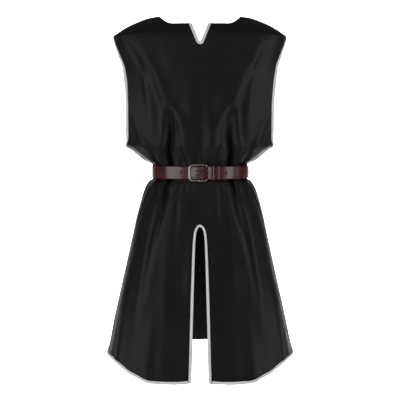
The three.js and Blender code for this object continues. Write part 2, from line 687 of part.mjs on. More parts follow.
// The strap's way round, as lifts over the cloth by angle: away from the heel bar to the right, once
// round the waist, then under the left side of the frame, over the heel bar and on to the tip
const turnOf = (x, turns) => waistAngle(x) + 360 * turns;
const ROUTE = [
  { angle: turnOf(22, 0), lift: LIFT.foldTop - 0.5 },
  { angle: turnOf(26, 0), lift: LIFT.under + 1.9 },
  { angle: turnOf(31, 0), lift: LIFT.under + 0.3 },
  { angle: turnOf(34, 0), lift: LIFT.under },
  { angle: RETURN_END + 1, lift: LIFT.under },
  { angle: RETURN_END + 8, lift: LIFT.single },
  { angle: turnOf(-60, 1), lift: LIFT.single },
  { angle: turnOf(-40, 1), lift: LIFT.single + 0.3 },
  { angle: turnOf(-30, 1), lift: LIFT.single + 1.2 },
  { angle: turnOf(-25, 1), lift: LIFT.single + 2 },
  { angle: turnOf(-12, 1), lift: LIFT.single + 5.3 },
  { angle: turnOf(4, 1), lift: LIFT.overHeel - 2 },
  { angle: turnOf(13, 1), lift: LIFT.overHeel - 0.2 },
  { angle: turnOf(HEEL_BAR_X, 1), lift: LIFT.overHeel },
  { angle: turnOf(22, 1), lift: LIFT.overHeel - 0.4 },
  { angle: turnOf(26, 1), lift: LIFT.over + 2.3 },
  { angle: turnOf(31, 1), lift: LIFT.over + 0.6 },
  { angle: turnOf(34, 1), lift: LIFT.over + 0.2 },
  { angle: 360 + RETURN_END + 2, lift: LIFT.over },
  { angle: 360 + RETURN_END + 12, lift: LIFT.outer },
  { angle: TIP_ANGLE, lift: LIFT.outer },
];

// The strap's middle line, from the end of the turned-over part and round the heel bar
function strapLine() {
  const line = [];
  for (let angle = RETURN_END; angle > HEEL + 1; angle -= 5) line.push(besideWaist(angle, LIFT.returned));
  const heel = waistFrame(HEEL);
  const centre = heel.point.clone().addScaledVector(heel.out, LIFT.heelBar);
  const turnRadius = LIFT.foldTop - LIFT.heelBar;
  for (let turn = 180; turn >= 0; turn -= 30) line.push(circling(heel, centre, turnRadius, turn));
  const angles = ROUTE.map((r) => r.angle);
  const lifts = ROUTE.map((r) => r.lift);
  let angle = angles[0];
  while (angle < TIP_ANGLE - 2) {
    line.push(besideWaist(angle, smooth(angles, lifts, angle)));
    const fine = angle < 48 || (angle > 335 && angle < 408);
    angle += fine ? 2.5 : 6;
  }
  line.push(besideWaist(TIP_ANGLE, LIFT.outer));
  return line;
}

function strap() {
  const line = strapLine();
  const tip = line.length - 1;
  const sections = line.map((p, i) => {
    const along = line[Math.min(tip, i + 1)].clone().sub(line[Math.max(0, i - 1)]).normalize();
    const across = new THREE.Vector3(along.y, -along.x, 0).multiplyScalar(STRAP / 2);
    const half = (BELT_WIDTH / 2) * (i === tip ? 0.4 : i === tip - 1 ? 0.86 : 1);
    const up = new THREE.Vector3(0, 0, half);
    return [
      p.clone().add(across).add(up), p.clone().sub(across).add(up),
      p.clone().sub(across).sub(up), p.clone().add(across).sub(up),
    ];
  });
  const band = solid(loft(sections));
  const slot = new THREE.BoxGeometry(16, 2 * (LIFT.foldTop + STRAP / 2 + 0.1), 2 * PRONG_RADIUS + 1.4);
  slot.translate(HEEL_BAR_X, besideWaist(HEEL, 0).y, BELT_Z);
  const hole = new THREE.CylinderGeometry(PRONG_HOLE_HALF_HEIGHT, PRONG_HOLE_HALF_HEIGHT, 30, 14);
  hole.scale(PRONG_HOLE_HALF_LENGTH / PRONG_HOLE_HALF_HEIGHT, 1, 1);
  hole.translate(PRONG_HOLE_X, besideWaist(waistAngle(PRONG_HOLE_X), 10).y, BELT_Z);
  return band.subtract(solid(slot)).subtract(solid(hole));
}

// A round bar along a level or upright line that lies in one plane
function bar(line, planeNormal, radius, sides, ring = false) {
  const count = line.length;
  const sections = line.map((p, i) => {
    const before = line[ring ? (i + count - 1) % count : Math.max(0, i - 1)];
    const after = line[ring ? (i + 1) % count : Math.min(count - 1, i + 1)];
    const along = after.clone().sub(before).normalize();
    const sideways = along.clone().cross(planeNormal).normalize();
    return Array.from({ length: sides }, (_, k) => {
      const turn = (2 * Math.PI * k) / sides;
      const level = sideways.clone().multiplyScalar(radius * Math.cos(turn));
      return p.clone().add(level).addScaledVector(planeNormal, radius * Math.sin(turn));
    });
  });
  return solid(loft(sections, ring));
}

// The buckle's frame: a flat loop with well-rounded corners on the left and tighter ones on the right
function buckleFrame() {
  const left = besideWaist(FRAME_LEFT, LIFT.frameLeft);
  const right = besideWaist(HEEL, LIFT.heelBar);
  const across = right.clone().sub(left);
  const width = across.length();
  across.normalize();
  const half = FRAME_HEIGHT / 2 - BAR_RADIUS;
  const corners = [
    { side: 'left', level: 1, radius: 11, start: Math.PI },
    { side: 'right', level: 1, radius: 3.6, start: Math.PI / 2 },
    { side: 'right', level: -1, radius: 3.6, start: 0 },
    { side: 'left', level: -1, radius: 11, start: -Math.PI / 2 },
  ];
  const steps = 5;
  const line = [];
  for (const { side, level, radius, start } of corners) {
    const cu = side === 'left' ? radius : width - radius;
    const cv = level * (half - radius);
    for (let i = 0; i <= steps; i++) {
      const turn = start - (Math.PI / 2) * (i / steps);
      const u = cu + radius * Math.cos(turn);
      const v = cv + radius * Math.sin(turn);
      line.push(left.clone().addScaledVector(across, u).addScaledVector(Z_AXIS, v));
    }
  }
  return bar(line, across.clone().cross(Z_AXIS).normalize(), BAR_RADIUS, 10, true);
}

// The prong hooks round the heel bar, comes up through the strap and rests on the frame's left side
function buckleProng() {
  const heel = waistFrame(HEEL);
  const centre = heel.point.clone().addScaledVector(heel.out, LIFT.heelBar);
  const hook = BAR_RADIUS + GAP + PRONG_RADIUS;
  const line = [];
  for (let turn = -200; turn <= 60; turn += 40) line.push(circling(heel, centre, hook, turn));
  const rise = [
    { x: 10, lift: LIFT.heelBar + 1.2 },
    { x: 5, lift: LIFT.heelBar + 1.1 },
    { x: 1, lift: LIFT.heelBar + 1.9 },
    { x: -4, lift: LIFT.heelBar + 3.3 },
    { x: -9, lift: LIFT.heelBar + 4.6 },
    { x: -14, lift: LIFT.heelBar + 5 },
    { x: -22, lift: LIFT.frameLeft + BAR_RADIUS + PRONG_RADIUS + 0.7 },
    { x: -32, lift: LIFT.frameLeft + BAR_RADIUS + PRONG_RADIUS + GAP + 0.1 },
  ];
  for (const { x, lift } of rise) line.push(besideWaist(waistAngle(x), lift));
  return bar(line, Z_AXIS, PRONG_RADIUS, 8);
}

// A keeper: a leather loop round every layer of the strap, looser where the strap still rises
function keeper(x, slack) {
  const frame = waistFrame(waistAngle(x));
  const bottom = GAP + KEEPER_THICKNESS;
  const top = LIFT.over + STRAP / 2 + GAP + slack;
  const half = BELT_WIDTH / 2 + 2 * GAP;
  const t = KEEPER_THICKNESS;
  const rectangle = (low, high, reach) =>
    [[low, -reach], [high, -reach], [high, reach], [low, reach]].map(([u, v]) => new THREE.Vector2(u, v));
  const shape = new THREE.Shape(rectangle(bottom - t, top + t, half + t));
  shape.holes.push(new THREE.Path(rectangle(bottom, top, half)));
  const geometry = new THREE.ExtrudeGeometry(shape, { depth: KEEPER_WIDTH, bevelEnabled: false });
  geometry.translate(0, 0, -KEEPER_WIDTH / 2);
  geometry.applyMatrix4(new THREE.Matrix4().makeBasis(frame.out, Z_AXIS, frame.out.clone().cross(Z_AXIS)));
  geometry.translate(frame.point.x, frame.point.y, frame.point.z);
  return solid(geometry);
}

const leather = new THREE.MeshStandardMaterial({ color: 0x1d1b1c, roughness: 0.5, metalness: 0 });
const braid = new THREE.MeshStandardMaterial({ color: 0xdcd8da, roughness: 0.6, metalness: 0 });
const beltLeather = new THREE.MeshStandardMaterial({ color: 0x43211f, roughness: 0.35, metalness: 0 });
const steel = new THREE.MeshStandardMaterial({ color: 0xb9b4b0, roughness: 0.25, metalness: 1 });

const tunic = new THREE.Group();
function put(name, made, material) {
  const mesh = new THREE.Mesh(geometryOf(made), material);
  mesh.name = name;
  tunic.add(mesh);
}

put('front_panel', frontPanel(), leather);
put('back_panel', backPanel(), leather);
put('armhole_braid_left', armholeBraid(-1), braid);
put('armhole_braid_right', armholeBraid(1), braid);
put('neck_notch_braid', notchBraid(), braid);
put('slit_braid', slitBraid(), braid);
put('hem_braid', hemBraid(), braid);
put('belt_strap', strap(), beltLeather);
KEEPERS.forEach(({ x, slack }, i) => put(`belt_keeper_${i + 1}`, keeper(x, slack), beltLeather));
put('buckle_frame', buckleFrame(), steel);
put('buckle_prong', buckleProng(), steel);

export default tunic;
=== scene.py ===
"""A sleeveless medieval tunic of thin black leather, filled out as worn, with braided edges and a belt.

Lengths of the garment are written in millimetres and turned into Blender's metres when a mesh is made.
+Z is up, the front faces -Y, and an angle runs from the front middle towards +X, all round to 360 degrees.
"""
import math
import random
from collections import namedtuple

import bmesh
import bpy
import numpy as np
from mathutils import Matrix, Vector


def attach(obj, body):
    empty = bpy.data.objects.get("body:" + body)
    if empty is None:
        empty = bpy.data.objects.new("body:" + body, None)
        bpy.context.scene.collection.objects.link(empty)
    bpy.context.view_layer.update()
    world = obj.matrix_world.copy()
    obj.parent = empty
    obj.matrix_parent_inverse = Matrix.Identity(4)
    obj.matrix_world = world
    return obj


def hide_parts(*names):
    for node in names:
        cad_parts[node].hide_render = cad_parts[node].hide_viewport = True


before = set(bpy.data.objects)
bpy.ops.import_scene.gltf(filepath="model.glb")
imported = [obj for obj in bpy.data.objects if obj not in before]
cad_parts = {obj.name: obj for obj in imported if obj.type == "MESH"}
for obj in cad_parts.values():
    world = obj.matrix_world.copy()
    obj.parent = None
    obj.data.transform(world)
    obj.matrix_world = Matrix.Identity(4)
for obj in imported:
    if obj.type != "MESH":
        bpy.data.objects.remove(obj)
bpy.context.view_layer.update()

MM = 0.001
UP = Vector((0, 0, 1))
SIDES = [("left", -1), ("right", 1)]

# Cloth
WALL = 1.5
SEAM_GAP = 0.2
SEAM_GROOVE_DEPTH = 1.3
SEAM_GROOVE_WIDTH = 3.0
HALF_COLUMNS = 80
BETWEEN_OPENINGS = 40.0  # an angle between the openings of the middle and the armholes

# Neckline, notch and slit
NECK_HALF_WIDTH = 120
NECK_DEPTH = 27
NECK_FLAT_HALF_WIDTH = 78
BACK_NECK_DEPTH = 72
NOTCH_HALF_WIDTH = 23.5
NOTCH_TIP_HALF_WIDTH = 2
NOTCH_SHOULDER_Z = -81.5
NOTCH_TIP_Z = -83.1
SLIT_TOP_Z = -611

# Armhole
ARMHOLE_TOP_Z = -57
ARMHOLE_ROUND_Z = -335
ARMHOLE_BOTTOM_Z = -379

# Braid, a plait of three flat strands on a narrow tape
BRAID_INSET = 0.7
BRAID_WIDTH = 8.8
STRAND_HALF_WIDTH = 1.55
STRAND_HALF_HEIGHT = 0.85
PLAIT_RISE = 0.55
TAPE_INSET = 1.3
TAPE_EDGE_LIFT = 1.1
TAPE_LIFT = 1.3
PLAIT_LENGTH = 27.0
BRAID_STEP = 1.25
BRAID_TOP_Z = -0.6

# Belt and buckle
BELT_TOP_Z = -440
BELT_WIDTH = 36
BELT_Z = BELT_TOP_Z - BELT_WIDTH / 2
BELT_REACH = 14
STRAP = 2.2
TIP_LENGTH = 0.55 * BELT_WIDTH
TIP_BLUNTNESS = 0.12
GAP = 0.3
FRAME_HEIGHT = 48
FRAME_LEFT_X = -30
HEEL_BAR_X = 18.6
LEFT_CORNER = 11
HEEL_CORNER = 5
BAR_RADIUS = 1.9
PRONG_RADIUS = 1.4
HOLES = range(-2, 5)  # counted from the prong's hole
HOLE_SPACING = 25
PRONG_HOLE_X = -3.5
HOLE_RADIUS = 2.1
PRONG_HOLE_STRETCH = 3.4
HEEL_SLOT_STRETCH = 3.6
KEEPER_WIDTH = 8
KEEPER_THICKNESS = 1.2
KEEPERS = [(35, 1.2), (50, 0.5)]  # place across the front, slack over the strap

Section = namedtuple("Section", "z half_width front back power")
SECTIONS = [Section(*row) for row in [
    (0, 120, 42, 36, 2.2),
    (-3, 146, 46, 40, 2.2),
    (-9, 167, 54, 47, 2.2),
    (-15, 182, 61, 53, 2.2),
    (-26, 207, 73, 63, 2.25),
    (-38, 228, 83, 72, 2.3),
    (-50, 245, 90, 79, 2.35),
    (-58, 254, 94, 83, 2.4),
    (-80, 250, 101, 92, 2.4),
    (-110, 243, 109, 100, 2.35),
    (-150, 236.5, 117, 106, 2.15),
    (-200, 241, 123, 110, 1.95),
    (-260, 244, 127, 112, 1.88),
    (-330, 241, 128, 115, 1.9),
    (-352, 232, 127, 115, 2.05),
    (-368, 223, 126, 115, 2.25),
    (-380, 219, 125, 115, 2.4),
    (-400, 196.5, 120, 113, 2.35),
    (-424, 167, 113, 110, 2.25),
    (-438, 142, 109, 107, 2.2),
    (-478, 142, 109, 107, 2.2),
    (-486, 153, 112.5, 110, 2.2),
    (-497, 160.5, 117, 114, 2.2),
    (-513, 168, 122, 118, 2.2),
    (-550, 179, 134, 128, 2.5),
    (-622, 197, 146, 142, 2.95),
    (-733, 221, 160, 161, 3.1),
    (-845, 246, 176, 180, 3.1),
    (-957, 271, 192, 197, 2.85),
    (-1060, 293, 206, 210, 2.65),
]]

# Folds. Angles run from the middle of a panel to its side seam, heights are out from the section and
# negative in a pleat, and width is half the fold's width. A fold on both sides has its left copy turned
# and scaled by the left factors.
Fold = namedtuple("Fold", "width z angle height left_angle left_height single", defaults=(1, 1, False))
FRONT_FOLDS = [
    # waist pleat
    Fold(9, [-250, -300, -360, -425, -458, -490, -560, -665, -780, -850],
         [36.4, 36.2, 36.4, 42.8, 45.5, 46.5, 42.5, 45, 46.7, 47],
         [0, -4, -9, -15, -15, -13, -8, -5, -3, 0], 1, 1.05),
    # waist hollow
    Fold(34, [-240, -300, -360, -410, -436], [37, 37, 37, 39, 43], [0, -5, -9, -9, 0], 1, 1.05),
    # side pleat
    Fold(8, [-370, -400, -425, -458, -490, -530, -590], [54, 57, 61, 65, 63, 60, 58],
         [0, -5, -11, -12, -10, -5, 0], 0.98),
    # seam gather
    Fold(8, [-392, -425, -458, -490, -550], [77, 78, 79, 78, 77], [0, -6, -8, -6, 0]),
    # shoulder drape
    Fold(16, [-64, -110, -176, -242, -300, -360, -410], [66, 61, 50, 41, 27, 16, 12],
         [0, 4, 7, 7, 4, 3, 0], 1, 1.1),
    # armhole drape
    Fold(12, [-110, -160, -220, -280, -350], [61, 59, 56.5, 54, 52], [0, 3, 4, 3, 0], 1.02),
    # ridge outside the pleat
    Fold(9, [-235, -300, -375, -432], [43, 43.5, 45, 53], [0, 4, 6, 0]),
    # ridge inside the pleat
    Fold(15, [-265, -340, -400, -434], [24, 24, 26, 31], [0, 3, 5, 0], 1, 0.9),
    # underarm ridge
    Fold(10, [-280, -320, -375, -415], [71, 67, 61, 58], [0, 4, 4, 0]),
    # middle hollow
    Fold(24, [-255, -330, -400, -432], [0, 0, 1, 1], [0, -3, -4, 0], single=True),
    # belly hollow
    Fold(30, [-482, -520, -560, -606], [0, 0, 1, 0], [0, -3, -3, 0], single=True),
    # skirt ridge
    Fold(19, [-515, -570, -640, -740, -830, -940], [50.5, 48, 48, 48, 48.5, 48],
         [0, 3, 4.5, 5, 3.5, 0], 0.99, 1.1),
    # slit edge curl
    Fold(16, [-610, -680, -750, -860], [8, 9, 9.5, 9], [0, 3, 4, 0]),
    # outer hem wave
    Fold(16, [-790, -900, -1060], [62, 60, 59], [0, 4, 8]),
    # inner hem wave
    Fold(16, [-820, -930, -1060], [38, 39, 40], [0, 3, 6]),
]
BACK_FOLDS = [
    # waist pleat
    Fold(9, [-240, -300, -360, -425, -458, -490, -560, -690, -800], [38, 38, 38.5, 43, 45, 45, 43, 44, 45],
         [0, -4, -9, -14, -14, -12, -8, -4, 0], 1.04),
    # side pleat
    Fold(8, [-340, -390, -425, -458, -490, -540, -640], [60, 61, 63, 65, 64, 62, 61],
         [0, -6, -11, -12, -10, -6, 0], 0.97, 0.9),
    # inner pleat
    Fold(9, [-330, -380, -425, -458, -490, -540, -600], [20, 20, 21, 22, 22, 21, 21],
         [0, -3, -7, -8, -7, -4, 0], 1.1, 0.9),
    # shoulder drape
    Fold(17, [-90, -150, -220, -300, -380], [62, 57, 50, 46, 46], [0, 4, 6, 5, 0], 1, 0.9),
    # skirt ridge
    Fold(18, [-486, -540, -660, -800, -950, -1060], [54, 54, 54, 55, 55, 55],
         [0, 5, 9, 8, 7, 7], 1.05, 0.9),
    # middle wave
    Fold(24, [-560, -700, -880, -1060], [18, 17, 17, 17], [0, 4, 6, 6], 1.1, 0.8),
    # outer hem wave
    Fold(16, [-760, -900, -1060], [73, 73, 72], [0, 3, 5]),
]

# Finer creases, which only the finished surface has
FRONT_CREASES = [
    # armhole's edge, which turns a little to the front under its braid
    Fold(18, [-52, -75, -90, -120, -160, -210, -270, -320, -350, -377],
         [90, 89.3, 87.8, 84.5, 80.9, 78.1, 76.8, 77.3, 79, 84], [0, 2, 3.6, 5, 5.4, 5.4, 5, 4, 2, 0]),
    # drag line from the shoulder tip to the chest
    Fold(7, [-62, -110, -170, -230], [74, 67, 59, 50], [0, -2.4, -2.2, 0], 1.03, 0.8),
    # core of the waist pleat
    Fold(4.5, [-262, -310, -360, -425, -458, -490, -560, -650],
         [36.4, 36.3, 36.4, 42.8, 45.5, 46.5, 42.5, 44.6], [0, -3, -8, -11, -9, -8, -4, 0]),
    # pull from the bottom of the armhole to the waist pleat
    Fold(7, [-300, -345, -385, -420], [72, 63, 53, 47], [0, -1.4, -1.6, 0], 0.98, 1.2),
    # soft fall from the neck point
    Fold(15, [-34, -80, -150, -230], [47, 42, 37, 33], [0, 0.9, 0.8, 0], 1.05, 1.2),
    # fall beside the middle of the chest
    Fold(13, [-150, -230, -320, -405], [13, 12, 11, 13], [0, 0.9, 1.1, 0], 1.2, 0.8),
    # fuller side of the chest, on the right of the picture only
    Fold(20, [-200, -260, -330, -400, -432], [16, 15, 14, 14, 16], [0, 2.6, 4, 4, 0], single=True),
    # slanting crease across the belly, on the right of the picture only
    Fold(6, [-305, -350, -400, -434], [31, 27, 21, 16], [0, -2, -3, 0], single=True),
    # and its shorter partner on the left
    Fold(6, [-330, -370, -410, -434], [-28, -25, -20, -17], [0, -1.8, -3, 0], single=True),
    # puckers under the belt
    Fold(7, [-482, -520, -585, -690], [27, 26, 24, 24], [0, -3.2, -2.2, 0], 1.1, 0.8),
    Fold(6, [-482, -515, -570, -640], [72, 70, 69, 69], [0, -3.4, -2.4, 0], 0.97),
    # long soft fall of the skirt
    Fold(15, [-560, -700, -850, -1060], [31, 30, 28, 27], [0, 1.8, 2.2, 1.4], 1.08, 0.8),
    # long hollow beside the side seam
    Fold(12, [-640, -760, -900, -1060], [71, 72, 73, 74], [0, -1.2, -2, -2], 0.99, 0.8),
    # curl of the hem beside the slit
    Fold(10, [-940, -1000, -1060], [9, 9.5, 10], [0, 1.2, 2], 1.2, 0.6),
]
BACK_CREASES = [
    # drag line from the shoulder tip
    Fold(7, [-70, -120, -190, -250], [75, 68, 60, 54], [0, -2.6, -2.2, 0], 1.02, 0.8),
    # pull from the bottom of the armhole to the waist pleat
    Fold(5, [-300, -345, -385, -420], [75, 67, 57, 50], [0, -2.6, -3.2, 0], 1.02, 1.1),
    # soft fall beside the middle of the back
    Fold(16, [-95, -180, -280, -380], [24, 20, 15, 12], [0, 2.2, 2.4, 0], 1.1, 0.8),
    # short pulls into the belt
    Fold(6, [-320, -360, -400, -434], [8, 7, 6, 5], [0, -2, -3, 0], 1.6, 0.8),
    # puckers under the belt
    Fold(7, [-482, -520, -585, -700], [33, 32, 31, 31], [0, -3.2, -2.4, 0], 1.08, 0.8),
    Fold(6, [-482, -515, -570, -650], [74, 73, 72, 72], [0, -3.4, -2.4, 0], 0.98),
    # long hollows of the skirt
    Fold(14, [-600, -740, -900, -1060], [37, 37, 38, 38], [0, -2.4, -3.6, -3], 1.02, 0.8),
    Fold(14, [-700, -820, -950, -1060], [3, 2, 1, 0], [0, -1.6, -2.4, -2.4], single=True),
]

# Small gathers that the belt presses into the cloth
GATHER_STEP = 6.4
GATHER_UNEVENNESS = (0.7, 1.5)
GATHER_WIDTH = (3.0, 4.6)
GATHER_DEPTH = (1.4, 3.4)
GATHER_ABOVE = (14, 44)
GATHER_BELOW = (16, 62)
GATHER_LEAN = 2.2
GATHER_REACH = 87


def gathers(seed):
    """Gathers from one side seam of a panel to the other, in uneven steps."""
    chance = random.Random(seed)
    made = []
    angle = -GATHER_REACH + GATHER_STEP * chance.random()
    while angle < GATHER_REACH:
        top = BELT_TOP_Z + chance.uniform(*GATHER_ABOVE)
        bottom = BELT_TOP_Z - BELT_WIDTH - chance.uniform(*GATHER_BELOW)
        depth = chance.uniform(*GATHER_DEPTH)
        lean = chance.uniform(-GATHER_LEAN, GATHER_LEAN)
        made.append(Fold(
            chance.uniform(*GATHER_WIDTH), [top, BELT_TOP_Z, BELT_TOP_Z - BELT_WIDTH, bottom],
            [angle + lean, angle, angle, angle - lean], [0, -depth, -depth, 0], single=True,
        ))
        angle += GATHER_STEP * chance.uniform(*GATHER_UNEVENNESS)
    return made


# Hems: angles from a panel's middle and heights. Slit: distances below its top and half widths.
# Armholes: heights, and how far the edges are from the side.
HEM = {
    "front": (
        [0, 8, 15, 22, 36, 40, 45, 52, 60, 68, 76, 90],
        [-1048, -1048, -1051, -1052, -1051.5, -1046, -1038, -1026, -1005, -1000, -1000, -1000],
    ),
    "back": ([0, 30, 60, 90], [-1016, -1014, -1004, -1000]),
}
SLIT_DROP = [0, 2, 7, 16, 36, 66, 134, 209, 309, 379, 449]
SLIT_HALF = [0, 3.2, 6.4, 9.5, 12, 13.6, 15.8, 17.4, 20, 21.6, 24]
ARMHOLE_Z = [ARMHOLE_TOP_Z, -68, -90, -120, -160, -210, -270, -320, -350, -368, -376, ARMHOLE_BOTTOM_Z]
ARMHOLE_REACH = {
    "front": [0, 9, 20, 33, 46, 56, 60, 58, 52, 38, 20, 0],
    "back": [0, 5, 11, 18, 26, 35, 41, 39, 34, 24, 13, 0],
}


def smooth(keys, values, x):
    """A smooth curve through a table's values that never overshoots them, read at every x."""
    keys = np.asarray(keys, float)
    values = np.asarray(values, float)
    x = np.asarray(x, float)
    if keys[0] > keys[-1]:
        keys, x = -keys, -x
    x = np.clip(x, keys[0], keys[-1])
    slope = np.diff(values) / np.diff(keys)
    before, after = slope[:-1], slope[1:]
    together = np.where(before + after == 0, 1, before + after)
    inner = np.where(before * after > 0, 2 * before * after / together, 0)
    tangent = np.concatenate([slope[:1], inner, slope[-1:]])
    i = np.clip(np.searchsorted(keys, x, side="right") - 1, 0, len(keys) - 2)
    span = keys[i + 1] - keys[i]
    t = (x - keys[i]) / span
    return (
        (1 + 2 * t) * (1 - t) ** 2 * values[i] + t * (1 - t) ** 2 * span * tangent[i]
        + t * t * (3 - 2 * t) * values[i + 1] + t * t * (t - 1) * span * tangent[i + 1]
    )


def ramp(value, low, high):
    """0 up to low, 1 from high on, and even between them."""
    return np.clip((value - low) / (high - low), 0, 1)


def bell(distance, reach):
    """1 at no distance, falling smoothly to 0 on both sides."""
    return np.exp(-((distance / reach) ** 2))


def size_at(name, z):
    """A size of the sections, read at every height."""
    columns = Section(*zip(*SECTIONS))
    return smooth(columns.z, getattr(columns, name), z)


def unit(vectors):
    return vectors / np.linalg.norm(vectors, axis=1)[:, None]


def walk(points):
    """How far along a line each of its points is."""
    return np.concatenate([[0], np.cumsum(np.linalg.norm(np.diff(points, axis=0), axis=1))])


def heading(points, closed=False):
    """The way that a line runs at each of its points."""
    if closed:
        return np.roll(points, -1, axis=0) - np.roll(points, 1, axis=0)
    return np.gradient(points, axis=0)


def spread(folds):
    """The folds of a panel, with those on both sides written out."""
    out = []
    for f in folds:
        out.append(f)
        if not f.single:
            angle = [-v * f.left_angle for v in f.angle]
            out.append(f._replace(angle=angle, height=[v * f.left_height for v in f.height]))
    return out


FOLDS = {
    "front": spread(FRONT_FOLDS + FRONT_CREASES) + gathers(3),
    "back": spread(BACK_FOLDS + BACK_CREASES) + gathers(8),
}


def near_belt(z):
    """1 under the belt, falling to 0 a little above and below it."""
    return bell(np.maximum(0, np.abs(z - BELT_Z) - BELT_WIDTH / 2), BELT_REACH)


Wave = namedtuple("Wave", "height count stretch start")
DRIFT = [Wave(0.55, 3, 61, 0), Wave(0.44, 5, -43, 1.3), Wave(0.275, 11, 27, 0)]


def drift(phi, z):
    """Slight unevenness of the cloth, all round, which fades towards the belt and the neck."""
    turn = np.radians(phi)
    total = sum(w.height * np.sin(w.count * turn + z / w.stretch + w.start) for w in DRIFT)
    return total * (1 - near_belt(z)) * ramp(-z, 0, 60)


def fold_height(side, angle, z, radius):
    """How far a panel's folds move the cloth out, which is negative in a pleat."""
    total = np.zeros_like(z)
    for f in FOLDS[side]:
        inside = (z <= f.z[0]) & (z >= f.z[-1])
        if not inside.any():
            continue
        across = np.radians(angle[inside] - smooth(f.z, f.angle, z[inside])) * radius[inside]
        total[inside] += smooth(f.z, f.height, z[inside]) * bell(across, f.width)
    return total


ROUNDING_STEP = 4.5


def cloth(phi, z):
    """Points of the cloth's outer face at angles all round and heights, in millimetres."""
    phi = np.asarray(phi, float)
    phi, z = (a.ravel() for a in np.broadcast_arrays((phi + 180) % 360 - 180, np.asarray(z, float)))
    front = np.abs(phi) <= 90
    angle = np.where(front, phi, np.sign(phi) * (180 - np.abs(phi)))

    def half_width(z):
        return size_at("half_width", z)

    def depth(z):
        return np.where(front, size_at("front", z), size_at("back", z))

    def rounding(size):
        return sum(size(z + k * ROUNDING_STEP) for k in range(-4, 5)) / 9 - size(z)

    # The sections are rounded off on the shoulder, though less in width towards its tip
    on_shoulder = ramp(-z, 20, 40) * ramp(z, -140, -100)
    off_tip = 1 - ramp(np.abs(angle), 30, 82) ** 2
    a = half_width(z) + rounding(half_width) * on_shoulder * off_tip
    b = depth(z) + rounding(depth) * on_shoulder
    n = size_at("power", z)
    s = np.sin(np.radians(phi))
    c = np.cos(np.radians(phi))
    radius = ((np.abs(s) / a) ** n + (np.abs(c) / b) ** n) ** (-1 / n)
    x, y = radius * s, -radius * c
    nx = np.sign(x) * np.abs(x) ** (n - 1) / a**n
    ny = np.sign(y) * np.abs(y) ** (n - 1) / b**n
    length = np.hypot(nx, ny)
    out = drift(phi, z)
    for side, here in (("front", front), ("back", ~front)):
        if here.any():
            out[here] += fold_height(side, angle[here], z[here], radius[here])
    from_seam = np.radians(90 - np.abs(angle)) * radius
    out -= SEAM_GROOVE_DEPTH * bell(from_seam, SEAM_GROOVE_WIDTH)
    return np.stack([x + nx / length * out, y + ny / length * out, z], axis=1)


def slopes(phi, z):
    """How the cloth's points move with the angle and with the height, and its outward normal."""
    turn, rise = 0.12, 0.5
    by_angle = (cloth(phi + turn, z) - cloth(phi - turn, z)) / (2 * turn)
    above = np.minimum(0, z + rise)
    by_height = (cloth(phi, above) - cloth(phi, z - rise)) / (above - z + rise)[:, None]
    return by_angle, by_height, unit(np.cross(by_angle, by_height))


def bisect(below, above, test, steps=34):
    """The place between two arrays of bounds where test turns from true to false."""
    below, above = np.array(below, float), np.array(above, float)
    for _ in range(steps):
        middle = (below + above) / 2
        good = test(middle)
        below = np.where(good, middle, below)
        above = np.where(good, above, middle)
    return (below + above) / 2


def whole_turn(side, angle):
    """A panel's own angle as an angle all round."""
    if side == "front":
        return angle
    return np.where(angle >= 0, 180 - angle, -180 - angle)


def hem_z(side, angle):
    return smooth(*HEM[side], np.abs(angle))


def neckline_z(side, x):
    """Height of the neckline over a distance from the middle."""
    x = np.clip(np.abs(x), 0, NECK_HALF_WIDTH)
    if side == "front":
        return -NECK_DEPTH * (1 - ramp(x, NECK_FLAT_HALF_WIDTH, NECK_HALF_WIDTH) ** 2.1)
    return -BACK_NECK_DEPTH * (1 - (x / NECK_HALF_WIDTH) ** 2.4)


def neckline_at(side, angle):
    """Height of the neckline at a panel's angles."""
    def under(z):
        return neckline_z(side, cloth(whole_turn(side, angle), z)[:, 0]) > z
    lowest = np.full_like(angle, -BACK_NECK_DEPTH - 1)
    return bisect(lowest, np.zeros_like(angle), under)


def notch_half(z):
    rise = (z - NOTCH_SHOULDER_Z) / (-NECK_DEPTH - NOTCH_SHOULDER_Z)
    straight = NOTCH_TIP_HALF_WIDTH + (NOTCH_HALF_WIDTH - NOTCH_TIP_HALF_WIDTH) * rise
    tip = NOTCH_TIP_HALF_WIDTH * np.sqrt(ramp(z, NOTCH_TIP_Z, NOTCH_SHOULDER_Z))
    return np.where(z > NOTCH_SHOULDER_Z, straight, tip)


def slit_half(z):
    return smooth(SLIT_DROP, SLIT_HALF, SLIT_TOP_Z - z)


def armhole_reach(side, z):
    inside = (z < ARMHOLE_TOP_Z) & (z > ARMHOLE_BOTTOM_Z)
    return np.where(inside, smooth(ARMHOLE_Z, ARMHOLE_REACH[side], z), 0)


def angle_at_x(side, sign, x, z):
    """The panel's angle where the cloth is a distance x from the middle plane."""
    def inside(angle):
        return np.abs(cloth(whole_turn(side, sign * angle), z)[:, 0]) < x
    return sign * bisect(np.zeros_like(x), np.full_like(x, BETWEEN_OPENINGS), inside)


def angle_at_armhole(side, sign, z_of, count):
    """The panel's angle on the armhole's edge, or at the side seam where there is no armhole."""
    def inside(angle):
        z = z_of(sign * angle)
        return np.abs(cloth(whole_turn(side, sign * angle), z)[:, 1]) > armhole_reach(side, z)
    found = bisect(np.full(count, BETWEEN_OPENINGS), np.full(count, 90.0), inside)
    z = z_of(np.full(count, sign * 90.0))
    return sign * np.where(armhole_reach(side, z) > 0, found, 90.0)


def armhole_round(start, count):
    """Heights round the bottom of an armhole, closer together towards its lowest point."""
    turn = np.sin(np.radians(np.linspace(start, 90, count)))
    return ARMHOLE_ROUND_Z + (ARMHOLE_BOTTOM_Z - ARMHOLE_ROUND_Z) * turn


